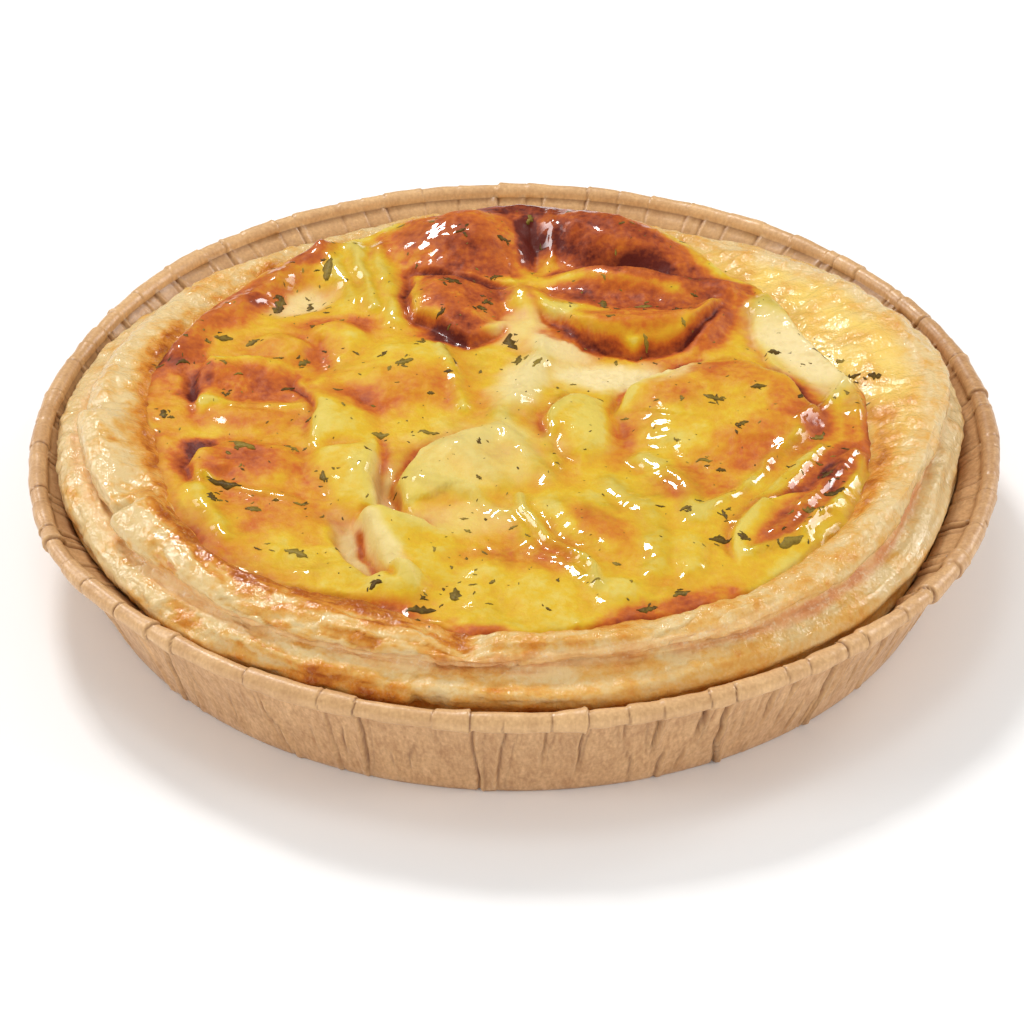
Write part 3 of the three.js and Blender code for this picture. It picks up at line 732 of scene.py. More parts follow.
def markAreas(dough):  # how strongly each kind of surface shows at each point
    place = dough.place
    dough.shown = section(dough, "shown")
    dough.puffed = section(dough, "puffed")
    dough.folded = bell(place - pastry["foldAt"], 1.6, 4)
    dough.glazed = stretches(dough, "glazed")
    dough.crinkled = stretches(dough, "crinkled")
    dough.egged = stretches(dough, "egged") * np.clip(0.75 + 0.7 * doughNoise(dough, "egged"), 0, 1)
    dough.dry = np.clip(0.5 + 0.9 * doughNoise(dough, "dry"), 0, 1)
    broken = doughNoise(dough, "broken")
    layered = np.max([stretch(dough, *entry) for entry in pastry["stretches"]["open"]], axis=0)
    seam = 0.35 + 0.6 * broken - stretches(dough, "closed")
    layered = np.maximum(layered, seam * bell(np.abs(place - pastry["seamAt"]), 0.9, 3))
    layered = np.clip(layered + 0.35 * doughNoise(dough, "layers") * (layered > 0.05), 0, 1)
    dough.layered = np.maximum(layered, stretches(dough, "split"))
    flaky = np.clip(0.1 + stretches(dough, "flaky") + 0.5 * broken, 0, 1) * dough.shown
    dough.flaky = flaky * (1 - dough.glazed) * (1 - stretches(dough, "smooth"))


def markPatterns(dough):  # the patterns that both the relief and the tones follow
    dough.swell = doughNoise(dough, "swell")
    fine = (0.4 - 0.25 * dough.crinkled) * np.abs(doughNoise(dough, "bubbles"))
    dough.blister = np.abs(doughNoise(dough, "blister")) + fine
    u = dough.around * pastry["plates"] / 360 + 0.4 * doughNoise(dough, "plateAlong")
    v = dough.across / pastry["plateHeight"] + 0.5 * doughNoise(dough, "plateAcross")
    dough.level, toEdge = scales(u, v, pastry["plates"], 3)
    dough.crack = bell(toEdge, 0.1)
    dough.strata = bandNoise(dough, "strata") + 0.4 * bandNoise(dough, "thinStrata")
    dough.wrinkle = 1 - 2 * np.abs(bandNoise(dough, "wrinkle"))
    dough.flakes = 1 - 2 * np.abs(bandNoise(dough, "flakes"))
    streaky = 0.4 + 0.6 * bell(azimuthApart(dough.around, 240), 32, 4)
    dough.streaks = bandNoise(dough, "streaks") * streaky * (1 - 0.6 * dough.glazed)
    ridged = 0.5 - 2 * np.abs(doughNoise(dough, "ridged"))
    dough.crinkle = 0.3 * doughNoise(dough, "crinkle") + 0.17 * ridged


def pastryRelief(dough):  # how far each point is pushed out
    high = pastry["relief"]
    surface = high["blister"] * (dough.blister - 0.35) + high["grain"] * doughNoise(dough, "grain")
    push = dough.shown * (high["swell"] * dough.swell + (1 - 0.85 * dough.glazed) * surface)
    plates = high["plate"] * dough.level - high["crack"] * dough.crack
    push += dough.flaky * plates + dough.glazed * high["glaze"] * bandNoise(dough, "glaze")
    layers = high["strata"] * dough.strata + high["crumb"] * doughNoise(dough, "crumb")
    push += high["streak"] * dough.streaks * dough.shown + dough.layered * layers
    creased = high["wrinkle"] * dough.puffed * dough.wrinkle * dough.dry
    creased += high["flake"] * dough.folded * dough.flakes * dough.dry
    push += dough.shown * (1 - dough.glazed) * creased
    push += dough.shown * (high["crinkle"] * dough.crinkled + dough.egged) * dough.crinkle
    around = dough.around + 0.7 * doughNoise(dough, "holeAlong")
    place = dough.place + 0.14 * doughNoise(dough, "holeAcross")
    return push - spots(around, place, pastry["holes"])


def pastryMasks(dough):  # bake from 0 pale to 1 brown, with painted light and shade in it, and where layers, egg and gloss show
    place, around, tint = dough.place, dough.around, pastry["tint"]
    pale = 0.7 * bell(azimuthApart(around, 190), 26, 4)
    slope = smoothStep(12.4 + pale, 14.4 + 0.4 * pale, place)
    # painted shade on the lower side of the ledge, less at the glazed side
    foot = tint["foot"] - 0.26 * bell(azimuthApart(around, 322), 34, 4)
    bakeAndShading = tint["ground"] + tint["slope"] * slope
    bakeAndShading += foot * section(dough, "foot")
    mottled = 1 - stretches(dough, "even")
    bakeAndShading += mottled * (tint["swell"] * dough.swell + tint["blister"] * (dough.blister - 0.4))
    bakeAndShading += spots(around, place, pastry["toasted"]) + ringSway(around, pastry["around"])
    # the glazed ledge a little browner, with painted shade towards its lower side
    bakeAndShading += dough.glazed * (0.03 + 0.08 * (1 - smoothStep(4.4, 5.6, place)))
    # raised flakes and crinkles paler as painted light, crinkle hollows darker as painted shade
    bakeAndShading -= tint["flake"] * dough.folded * dough.flakes * dough.dry
    bakeAndShading -= tint["crinkle"] * dough.crinkled * dough.crinkle
    bakeAndShading += tint["streak"] * dough.streaks * dough.shown
    # cracks browner; raised plates paler as painted light, low ones darker as painted shade
    bakeAndShading += dough.flaky * (tint["crack"] * dough.crack - tint["plate"] * dough.level)
    bakeAndShading += tint["slope"] * slope * doughNoise(dough, "slope")
    # layers darker in the groove, and painted shade between the strata
    deep = stretches(dough, "deep") - 0.5 * dough.strata
    shine = 0.16 + 0.45 * dough.crinkled + 0.6 * dough.egged + stretches(dough, "shiny")
    shine += 0.8 * dough.glazed * bell(place - pastry["shineAt"], 0.7)
    return {"bakeAndShading": np.clip(bakeAndShading, 0, 1), "layers": dough.layered, "deep": np.clip(deep, 0, 1),
            "egg": 0.85 * dough.egged, "shine": np.clip(shine, 0, 1)}


def makePastry():
    dough = pastryPoints()
    markAreas(dough)
    markPatterns(dough)
    points = dough.points + ringNormals(dough.points) * pastryRelief(dough)[..., None]
    radius = np.hypot(points[..., 0], points[..., 1])
    limit = caseInside(dough.around, points[..., 2]) - pastry["clearance"]
    points[..., :2] *= (np.minimum(radius, limit) / radius)[..., None]
    piece = ringPiece("pastry_edge", points, pastryMasks(dough), pastryFinish())
    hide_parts("pastry_shell")
    print("pastry:", len(piece.data.polygons), "faces")
    top = (dough.place[0] > 12.2) & (dough.place[0] < 15.2)
    return points[:, top][:, ::-1]  # the inner slope, from its foot up


# the egg filling with its lumps, folds and browned places

filling = {
    "radius": 59.4, "level": 22.3, "edgeLevel": 23.1, "floor": 6.4, "grid": 312, "edgeFade": 2.4,
    "blend": 6.0, "valley": 1.7, "edgeUp": ((62, 34, -1.2), (125, 38, -1.5), (200, 40, 0.8)),
    # noise that pulls the plan about: cell size and shift in mm, seed
    "bends": ((9.0, 1.6, 41), (3.8, 0.45, 51)),
    # noise over the plan: cell size in mm, seed, octaves
    "noise": {"crumple": (8.0, 3, 2), "swell": (4.6, 9, 2), "thread": (10.0, 77, 1), "wrinkle": (2.6, 4, 2),
              "edge": (9.0, 5, 3), "wobble": (4.0, 8, 4), "tone": (11.0, 6, 3), "curd": (1.8, 15, 3)},
    # height of each pattern in mm
    "relief": {"crumple": 0.4, "swell": 0.2, "thread": 0.16, "wrinkle": 0.2, "edge": 1.8, "curd": 0.8},
    # each lump: middle, reach ahead, behind, left and right of its turn, turn from +X in degrees, rise,
    # steepness, and how much it leans up per mm ahead and to the left
    "lumps": {
        "blister left": ((-9, 47), (11, 11.5, 7.5, 9), 4, 6.4, 1.6, (0.05, 0.06)),
        "blister right": ((15, 45), (16, 12, 7, 5), -24, 7, 1.7, (-0.05, 0.08)),
        "blister crest": ((3, 53.5), (11, 11, 4, 7), -3, 4.6, 1.8, (0, 0)),
        "blister end": ((33, 31.5), (5, 5, 4, 4), -20, 3.6, 1.4, (0, 0)),
        "brown ridge": ((19, 33), (13, 14, 3.6, 4.2), -8, 5.2, 1.5, (0, 0)),
        "back bench": ((16, 27), (16, 16, 9, 8), 0, 2.7, 1.7, (0, 0)),
        "brown lip": ((19, 20.5), (12, 12, 6, 3.6), 2, 4.2, 2, (0.02, -0.1)),
        "lip right": ((31, 22), (7, 7, 3.6, 3.2), 68, 3.9, 1.5, (0, 0)),
        "lip left": ((2.2, 28.5), (6, 6, 4, 4), 115, 3.8, 1.4, (0, 0)),
        "smooth saddle": ((2, 20), (6, 6, 5.5, 5), 0, 2.3, 1.5, (0, 0.05)),
        "brown tongue": ((-9, 28.5), (8, 10, 7.5, 7), 85, 3.9, 1.9, (0.04, 0.05)),
        "back folds": ((-21, 34), (12, 12, 6, 5), 100, 1.6, 1.4, (0, 0)),
        "left far": ((-36.5, 15.5), (3.2, 7, 5, 4.4), 90, 3.1, 2, (0.1, 0)),
        "left far back": ((-28.5, 18.5), (4, 8, 5.5, 6), 90, 3.2, 1.9, (0.1, 0)),
        "left middle": ((-18, 9), (8, 13, 9.5, 8.3), 90, 3.5, 2, (0.05, -0.05)),
        "left facet": ((-43, 8.5), (9, 7.5, 3.4, 8), 0, 3.2, 2, (0, 0.14)),
        "left band": ((-42, -5), (9.5, 8, 2.4, 6), -3, 2.4, 1.8, (0, 0.14)),
        "left orange": ((-40, -16.5), (9.5, 10, 4.6, 8), -10, 2.8, 2.3, (0, 0.07)),
        "left step": ((-27, -5), (8, 7, 7, 4.5), -78, 2.6, 2, (0, -0.1)),
        "left steep": ((-25.5, -18.5), (11, 6, 5, 5.5), -85, 3.3, 2.7, (-0.1, 0.05)),
        "front left": ((-34, -34), (9, 10, 7, 6), -42, 1.9, 1.6, (0, 0)),
        "pale middle": ((-5.5, -17), (13, 13, 6.4, 11.5), 47, 3.7, 2.1, (0, 0.09)),
        "front fold": ((-15.5, -38.5), (13, 9, 7, 4.5), -60, 2.9, 2.4, (-0.05, -0.1)),
        "fold tip": ((-21, -33.4), (4.2, 3.4, 2.2, 2), -15, 2.9, 1.8, (-0.1, 0)),
        "front bulge": ((-17, -49), (5, 5, 4.2, 4.2), -20, 4.4, 1.8, (0, 0)),
        "front level": ((0, -48), (16, 14, 8, 8), 0, 2, 1.6, (0, 0)),
        "front knob": ((-4, -45), (5, 5, 4, 4), 20, 2.7, 1.4, (0, 0)),
        "front right knob": ((15, -50), (6, 5, 3.6, 4), 10, 2.5, 1.4, (0, 0)),
        "centre right": ((10, -6.5), (8, 11, 5, 5), 95, 3.5, 2, (0, -0.08)),
        "right dome": ((32, -3), (15.5, 14.5, 12, 17), 0, 3.9, 2.3, (0, 0.05)),
        "dome shoulder": ((40, -8), (8, 8, 5, 6), 40, 3.9, 1.5, (0, 0)),
        "front middle": ((10, -32), (13, 10, 7, 5.5), -52, 3.1, 2.3, (0, -0.08)),
        "front right": ((25, -41), (7, 7, 3.2, 3.5), 100, 2.6, 1.6, (0, 0)),
        "right low": ((31, -30), (7, 6, 4, 4), 50, 1.9, 1.5, (0, 0)),
        "right slab": ((45, 14), (14, 13, 4, 5), -60, -0.7, 3, (0, 0)),
        "pale hollow": ((17, 10), (13, 10, 6, 5), 0, -1.3, 2, (0, 0)),
        "back left pocket": ((-34.5, 30), (6.5, 6, 4, 4), 25, -1.8, 2.4, (0, 0)),
        "slot": ((-19, -24.8), (6, 5.4, 1.7, 1.7), -79, -2.5, 3, (0, 0)),
        "deep pocket": ((-23, -38), (8, 7.5, 2.6, 2.4), -67, -2.4, 2.8, (0, 0)),
        "left corner": ((-50, 4.5), (5, 5, 1.6, 1.6), 92, -0.6, 2.4, (0, 0)),
    },
    # each ridge or crease over the lumps: the line it runs along, half width, and rise, below 0 for a crease
    "ridges": {
        "back fold inner": (((-22.3, 43), (-20.4, 33), (-18.1, 22.5)), 1.8, 1.3),
        "back fold outer": (((-26.6, 45), (-24.2, 35), (-22.4, 26)), 1.2, 1.2),
        "back fold far": (((-31, 44), (-28, 36), (-25.6, 29)), 1.4, 1.0),
        "left edge": (((-31, 45), (-37, 37), (-42, 28.5), (-48.7, 23.2), (-52.5, 14)), 2.6, 1.5),
        "bright edge": (((-12, 14), (-10, 9.6), (-9.2, 2.5), (-7.4, -3)), 1.1, 1.1),
        "centre twist": (((5, 15), (2.6, 5), (-2.1, -6.4)), 2.2, 1.7),
        "step edge": (((-34, 2), (-31.3, -6.5), (-30, -12.6)), 1.0, 0.7),
        "centre line": (((7.4, 2), (5.9, -6), (5.7, -13), (5.8, -19.5)), 0.9, 0.6),
        "front line": (((0.8, -27), (1.6, -31), (3.6, -35.6), (8.5, -40.8), (12.2, -45), (12.6, -49.5)),
                       0.8, 1.2),
        "front line low": (((-0.6, -31), (1.6, -37), (6.6, -42.4), (10.5, -47)), 0.6, 0.4),
        "front right fold": (((14, -23), (18.7, -29.4), (20.6, -36), (20, -45)), 1.8, 0.9),
        "right fold": (((19, -15.5), (22.3, -19.6), (25.5, -24.1), (27.4, -31)), 1.7, 1.0),
        "right streak inner": (((29, -29), (36, -20.8), (43, -11)), 0.9, 0.8),
        "right streak middle": (((33, -33), (40, -24.4), (47, -13)), 0.8, 0.9),
        "right streak outer": (((38, -36), (45, -26.5), (51, -15)), 1.0, 1.1),
        "right streak far": (((42, -36), (48.5, -27), (53.5, -15)), 0.8, 0.8),
        "right streak short": (((36, -27.5), (40, -21.5), (44.5, -15.5)), 0.6, 0.6),
        "right streak upper": (((43, -8), (48, -1.5), (51.5, 5)), 0.8, 0.8),
        "right streak low": (((35, -41), (40, -37), (45, -31.5)), 0.8, 0.8),
        "right rise": (((40, 28), (47, 19.1), (53, 7), (54.5, -4)), 2.4, 1.2),
        "left upper band": (((-50, -1), (-42, -2.2), (-34, -2.6)), 1.0, 0.6),
        "left lower edge": (((-46, -22.5), (-40, -24.5), (-33, -27)), 0.9, 0.5),
        "left slope ridge": (((-47, -23), (-45.4, -31), (-42, -37)), 1.4, 1.2),
        "right crease": (((14.6, -3), (16.8, -10.6), (17.8, -19)), 1.9, -0.9),
        "blister crease": (((2.4, 50), (2.8, 46), (2.4, 40)), 1.0, -1.4),
        "blister fold": (((5.4, 53), (5.6, 47), (5.0, 42)), 0.9, 0.7),
        "pale wrinkle left": (((-13, -14), (-7, -18), (-2, -24)), 1.3, 0.5),
        "pale wrinkle right": (((-3, -10), (2, -15), (4, -22)), 1.2, 0.6),
        "pale wrinkle low": (((-14, -23), (-8, -25.5), (-2, -31)), 1.3, 0.5),
        "left far crease": (((-31, 17), (-29.6, 10), (-31, 3)), 1.2, -0.8),
    },
    # each step up at the edge of a fold: the line along its top with the high side on the left, the step up,
    # how far the raised side reaches, and how far the foot is sunk
    "foldSteps": {
        "pale middle": (((-4, -9.5), (-10.3, -12.3), (-15.1, -15.6), (-17.2, -22.3), (-16.3, -28.3),
                         (-14, -31)), 1.4, 7, 0.9),
        "left step": (((-19.9, -32.2), (-20.3, -22.6), (-20.9, -14), (-22, -8)), 1.0, 5, 0.6),
        "fold side": (((-23, -30.5), (-21.8, -33), (-19.6, -40), (-18.2, -46), (-16, -51)), 1.6, 5, 0.8),
        "fold top": (((-11, -34.5), (-15, -32.8), (-18.5, -31.6), (-23.5, -31)), 0.8, 4, 0.8),
        "left facet": (((-45, 11.5), (-47.4, 9.6), (-49.6, 5), (-49.9, -1.2), (-49, -5.5)), 1.3, 6, 0.2),
        "left orange": (((-46.5, -13.5), (-48.6, -15.5), (-49.2, -18.3), (-47.8, -21.5), (-44, -24)),
                        1.2, 5, 0.7),
        "left middle": (((-33, 8), (-32.6, 5), (-31.3, -1.2), (-30.3, -9.6), (-29, -14)), 1.0, 6, 0.6),
        "tongue": (((-15, 39), (-16.9, 35.8), (-17.4, 29.6), (-15.9, 22.9), (-11.9, 20), (-7.1, 17),
                    (-2.4, 19.4), (0, 24)), 1.3, 7, 0.8),
        "blister foot": (((-19, 38), (-12.1, 36.2), (-5.6, 34.6), (0.5, 33), (3, 36)), 0.8, 5, 0.5),
        "lip": (((2.6, 30), (6, 23.4), (11.6, 17.6), (19.5, 15), (26.6, 17), (30.4, 22), (34, 30)),
                1.8, 5, 0.9),
        "dome": (((48, -8), (46.5, -4.2), (42.6, 2.5), (34.5, 10.8), (27.4, 10.2), (19.4, 4.4),
                  (14.9, -3), (14.5, -8)), 1.4, 9, 0.8),
        "cream": (((38, 29), (38.6, 24), (38.2, 18.5), (40.7, 9.5), (44, 2.5)), 0.5, 4, 0.4),
        "right front": (((46, -24), (42.4, -25.7), (37.1, -28.3), (33.4, -33.5), (32.1, -39.8),
                         (33, -44)), 0.9, 4, 0.5),
        "centre right": (((13.5, -1), (8.5, 0.5), (5.5, -5), (5.4, -12)), 0.7, 4, 0.4),
    },
    # browned places: middle, half length, half width, turn, and how dark
    "browned": {
        "blister left": ((-9, 46), 13, 8, 4, 0.62),
        "blister crease": ((1.8, 47), 2.4, 7.5, 0, 0.98),
        "blister right": ((15, 44), 17, 6.5, -25, 0.75),
        "blister dark": ((20, 39), 9, 4, -18, 0.7),
        "blister back": ((2, 54), 22, 5, -4, 0.8),
        "ridge": ((20, 34.5), 14, 3.6, -8, 0.72),
        "island": ((14, 29.5), 12, 4.4, -3, 0.5),
        "ridge end": ((32, 31.5), 6, 5, -10, 0.72),
        "lip": ((18, 19.6), 15, 4.6, 2, 0.44),
        "lip right": ((31, 22), 4.5, 8, -20, 0.5),
        "valley": ((24, 26), 9, 4, 10, 0.46),
        "blister join": ((-8, 38), 9, 4.5, 0, 0.5),
        "tongue": ((-9, 28.5), 8.5, 9.5, 0, 0.6),
        "tongue dark": ((-10, 33), 6, 3, 0, 0.74),
        "tongue tip": ((-9, 19.8), 5, 4.2, 0, 0.78),
        "left edge": ((-43, 29), 17, 4, 52, 0.46),
        "left edge spot": ((-41.5, 28.5), 2.4, 2, 40, 0.78),
        "left edge low": ((-52, 14), 8, 4, 68, 0.44),
        "left edge back": ((-33.5, 42), 6, 3, 45, 0.52),
        "left spot": ((-48.2, 4), 2, 4.6, -10, 0.7),
        "left facet": ((-41, 4), 10, 6, 0, 0.42),
        "left spot low": ((-48, -12.8), 3.2, 2.6, -30, 0.74),
        "left far": ((-34, 14), 7, 6, 30, 0.26),
        "left band": ((-42, -17), 10, 5.5, -10, 0.46),
        "left upper band": ((-42, -5), 9, 3, -3, 0.24),
        "left band end": ((-46, -19), 3.8, 3, -14, 0.52),
        "left top": ((-28, 21.5), 7, 3, 0, 0.36),
        "left middle": ((-15, 4), 8, 6, 0, 0.24),
        "left middle low": ((-24, 0), 10, 4, -10, 0.32),
        "dome top": ((33, 6), 14, 5.5, -18, 0.44),
        "dome right": ((44, -4), 5, 10, 20, 0.42),
        "dome left": ((23, 0), 6, 5, 30, 0.28),
        "dome front": ((36, -14), 12, 6, 30, 0.3),
        "right fold": ((27, -22), 7, 5, 0, 0.24),
        "right strip": ((47, -21), 13, 4, 62, 0.5),
        "right strip dark": ((47.5, -20), 3.8, 2.2, 60, 0.86),
        "right far": ((53, -6), 12, 3, 82, 0.32),
        "right low": ((41, -33), 9, 3, 50, 0.46),
        "front right edge": ((21, -55), 13, 2.8, 24, 0.48),
        "front left edge": ((-43, -42), 18, 4.4, -42, 0.16),
        "front notch": ((-5, -60), 5, 2, 0, 0.5),
        "front edge": ((-20, -54), 12, 2.4, -20, 0.25),
        # right crease and front valley are painted shade in valleys
        "right crease": ((16, -11), 2.6, 7, -6, 0.14),
        "front valley shade": ((13, -35), 3, 8, 40, 0.32),
        "front centre": ((2, -42), 8, 5, 0, 0.2),
        "left low": ((-34, -30), 10, 6, -30, 0.24),
    },
    # pale places where curd and cream show, in the same way
    "creamy": {
        "curd": ((16, 7.6), 12, 4.6, -4, 1.0),
        "curd left": ((7, 15), 6, 4, -20, 0.8),
        "saddle": ((2, 20.5), 6, 5, 0, 0.45),
        "cream right": ((45, 14), 13, 4.6, -62, 1.0),
        "pocket": ((-34.5, 30), 6, 3.6, 25, 0.7),
        "slot": ((-19.2, -24), 2, 7.5, 8, 0.7),
        "deep pocket": ((-23.2, -37.6), 2.8, 7.5, 22, 0.75),
        "pale middle": ((-6, -17), 11, 9, 30, 0.34),
        "fold side": ((-19, -40), 9, 1.6, -65, 0.6),
        "twist": ((1.5, 5), 9, 4, 70, 0.72),
        "lower middle": ((-8, -32), 8, 4, 0, 0.3),
    },
    # how much each browns, with hollow and wideHollow painted shade in hollows and painted light on crests,
    # stepFoot painted shade at a step's foot and stepTop painted light on its top, and the side where the edge
    # is glazed: azimuth, width, amount
    "tint": {"ground": 0.14, "tone": 0.12, "hollow": 0.16, "wideHollow": 0.08, "stepFoot": 0.17,
             "stepTop": 0.1, "cream": 0.2, "edge": 0.07, "glazedEdge": 0.2, "glazed": 0.03},
    "glazedSide": ((185, 50, 1.0),),
    "pale": (0.69, 0.52, 0.09), "egg": (0.69, 0.435, 0.019), "amber": (0.64, 0.27, 0.014),
    "orange": (0.56, 0.135, 0.014), "brown": (0.37, 0.066, 0.013), "dark": (0.13, 0.016, 0.008),
    "cream": (0.82, 0.66, 0.33),
    "gloss": {"Roughness": 0.5, "IOR": 1.28, "Subsurface Weight": 0.06, "Subsurface Radius": (1.0, 0.6, 0.15),
              "Subsurface Scale": 0.0015, "Coat Roughness": 0.05, "Coat IOR": 1.7},
}


def planNoise(x, y, size, seed, octaves):  # noise over the plan, with cells of this size
    cells = np.stack([x / size, y / size, np.zeros_like(x)], -1).reshape(-1, 3)
    return roughNoise(cells, seed, octaves).reshape(x.shape)


def fillingNoise(x, y, name):
    return planNoise(x, y, *filling["noise"][name])


def bentPlace(x, y):  # the plan pulled about a little, so that no fold runs quite straight
    bentX, bentY = x, y
    for size, shift, seed in filling["bends"]:
        bentX = bentX + shift * planNoise(x, y, size, seed, 1)
        bentY = bentY + shift * planNoise(x, y, size, seed + 1, 1)
    return bentX, bentY


def ellipseApart(x, y, middle, reach, turn):  # below 1 inside, with a reach of its own on each of four sides
    turn = math.radians(turn)
    along = (x - middle[0]) * math.cos(turn) + (y - middle[1]) * math.sin(turn)
    across = (y - middle[1]) * math.cos(turn) - (x - middle[0]) * math.sin(turn)
    ahead, behind, left, right = reach
    length, width = np.where(along > 0, ahead, behind), np.where(across > 0, left, right)
    return (along / length) ** 2 + (across / width) ** 2, along, across


def lineSide(x, y, line):  # distance to a line, above 0 on its left, and a fade towards its ends
    nearest, side, past, passed = np.full(x.shape, 1e9), np.zeros(x.shape), np.zeros(x.shape), 0.0
    for (ax, ay), (bx, by) in zip(line[:-1], line[1:]):
        dx, dy = bx - ax, by - ay
        length = math.hypot(dx, dy)
        t = np.clip(((x - ax) * dx + (y - ay) * dy) / length ** 2, 0, 1)
        apart = np.hypot(x - ax - t * dx, y - ay - t * dy)
        nearer = apart < nearest
        nearest = np.where(nearer, apart, nearest)
        side = np.where(nearer, np.where(dx * (y - ay) > dy * (x - ax), apart, -apart), side)
        past = np.where(nearer, passed + t * length, past)
        passed += length
    return side, smoothStep(0, 0.2 * passed, past) * (1 - smoothStep(0.8 * passed, passed, past))


def lineApart(x, y, line):
    return np.abs(lineSide(x, y, line)[0])


def stepUp(x, y, line, rise, reach, drop):
    side, ends = lineSide(x, y, line)
    high = 0.5 + 0.5 * np.tanh(side / 0.4)
    return ends * (high * rise * bell(side, reach) - (1 - high) * drop * bell(side, 1.8))


def patchMask(x, y, patches, wobble):  # the strongest of several soft-edged patches
    mask = np.zeros_like(x)
    for middle, half, wide, turn, strength in patches.values():
        apart = ellipseApart(x, y, middle, (half, half, wide, wide), turn)[0] * (1 + wobble)
        mask = np.maximum(mask, strength * np.exp(-np.maximum(apart, 0) ** 2.2))
    return mask


def fillingEdge(azimuth):
    return filling["radius"] + ringSway(azimuth, pastry["out"]["lip"])


def fillingTop(x, y):
    azimuth = np.degrees(np.arctan2(y, x))
    fade = smoothStep(0, filling["edgeFade"], fillingEdge(azimuth) - np.hypot(x, y))
    bentX, bentY = bentPlace(x, y)
    risen = np.full_like(x, filling["valley"] ** filling["blend"])
    sunk = np.zeros_like(x)
    for middle, reach, turn, rise, steep, lean in filling["lumps"].values():
        apart, along, across = ellipseApart(bentX, bentY, middle, reach, turn)
        height = (rise + lean[0] * along + lean[1] * across) / (1 + apart ** steep)
        risen += np.maximum(height, 0) ** filling["blend"]
        sunk += np.minimum(height, 0)
    risen = risen ** (1 / filling["blend"])
    for line, width, rise in filling["ridges"].values():
        sunk += rise / (1 + (lineApart(bentX, bentY, line) / width) ** 2.4)
    for line, rise, reach, drop in filling["foldSteps"].values():
        sunk += stepUp(bentX, bentY, line, rise, reach, drop)
    high = filling["relief"]
    thread = 1 - np.minimum(1, 2.2 * np.abs(fillingNoise(bentX, bentY, "thread")))
    fine = high["crumple"] * (np.abs(fillingNoise(bentX, bentY, "crumple")) - 0.25)
    fine += high["swell"] * fillingNoise(bentX, bentY, "swell") + high["thread"] * thread ** 5
    fine += high["wrinkle"] * np.abs(fillingNoise(bentX, bentY, "wrinkle"))
    edge = filling["edgeLevel"] - filling["level"] + ringSway(azimuth, filling["edgeUp"])
    edge = edge + np.minimum(high["edge"] * fillingNoise(x, y, "edge") - 0.15, 0.5)
    return filling["level"] + fade * (risen + sunk + fine) + (1 - fade) * edge


def discGrid(side):  # a square grid pulled into a disc of radius 1
    a, b = np.meshgrid(np.linspace(-1, 1, side), np.linspace(-1, 1, side), indexing="ij")
    reach = np.maximum(np.abs(a), np.abs(b))
    longer = np.abs(a) >= np.abs(b)
    ratio = np.where(longer, b, a) / np.where(reach == 0, 1, np.where(longer, a, b))
    turn = np.where(longer, ratio * np.pi / 4, np.pi / 2 - ratio * np.pi / 4)
    sign = np.sign(np.where(longer, a, b))
    return reach * np.cos(turn) * sign, reach * np.sin(turn) * sign


def blurred(grid, reach):  # mean over a square of grid points
    for axis in (0, 1):
        before = np.repeat(np.take(grid, [0], axis), reach, axis)
        after = np.repeat(np.take(grid, [-1], axis), reach + 1, axis)
        total = np.cumsum(np.concatenate([before, grid, after], axis), axis)
        place = np.arange(grid.shape[axis])
        grid = (np.take(total, place + 2 * reach, axis) - np.take(total, place, axis)) / (2 * reach)
    return grid


def fillingFinish():
    material, tree, shader, place = startMaterial("baked egg", filling["gloss"])
    # browning with painted light and shade in it
    bakedAndShaded = readMask(tree, "bakeAndShading")
    tone = placeGroup(tree, mottle, {"Place": place, "Patch Scale": 190.0, "Speck Scale": 1000.0,
                                     "Speck Share": 0.42, "Low": 0.3, "High": 0.7})
    blotch = calc(tree, "MULTIPLY", spread(tree, tone, 0, 1, -1, 1), spread(tree, bakedAndShaded, 0.32, 0.8, 0.1, 0.3))
    color = toneRamp(tree, calc(tree, "ADD", bakedAndShaded, blotch), [
        (0.0, filling["pale"]), (0.12, filling["egg"]), (0.34, filling["amber"]), (0.52, filling["orange"]),
        (0.74, filling["brown"]), (1.0, filling["dark"])])
    color = blendColor(tree, readMask(tree, "cream"), color, filling["cream"])
    tree.links.new(color, shader.inputs["Base Color"])
    wet = placeGroup(tree, mottle, {"Place": place, "Patch Scale": 78.0, "Speck Scale": 520.0,
                                    "Speck Share": 0.3, "Low": 0.5, "High": 0.63})
    wet = calc(tree, "MAXIMUM", wet, readMask(tree, "wet"))
    wet = calc(tree, "SUBTRACT", wet, readMask(tree, "dull"), True)
    tree.links.new(wet, shader.inputs["Coat Weight"])
    height = placeGroup(tree, skin, {"Place": place, "Wrinkle Scale": 600.0, "Pore Scale": 2400.0,
                                     "Pore Share": 0.3})
    addBump(tree, shader, height, 0.4, 0.0005)
    return material


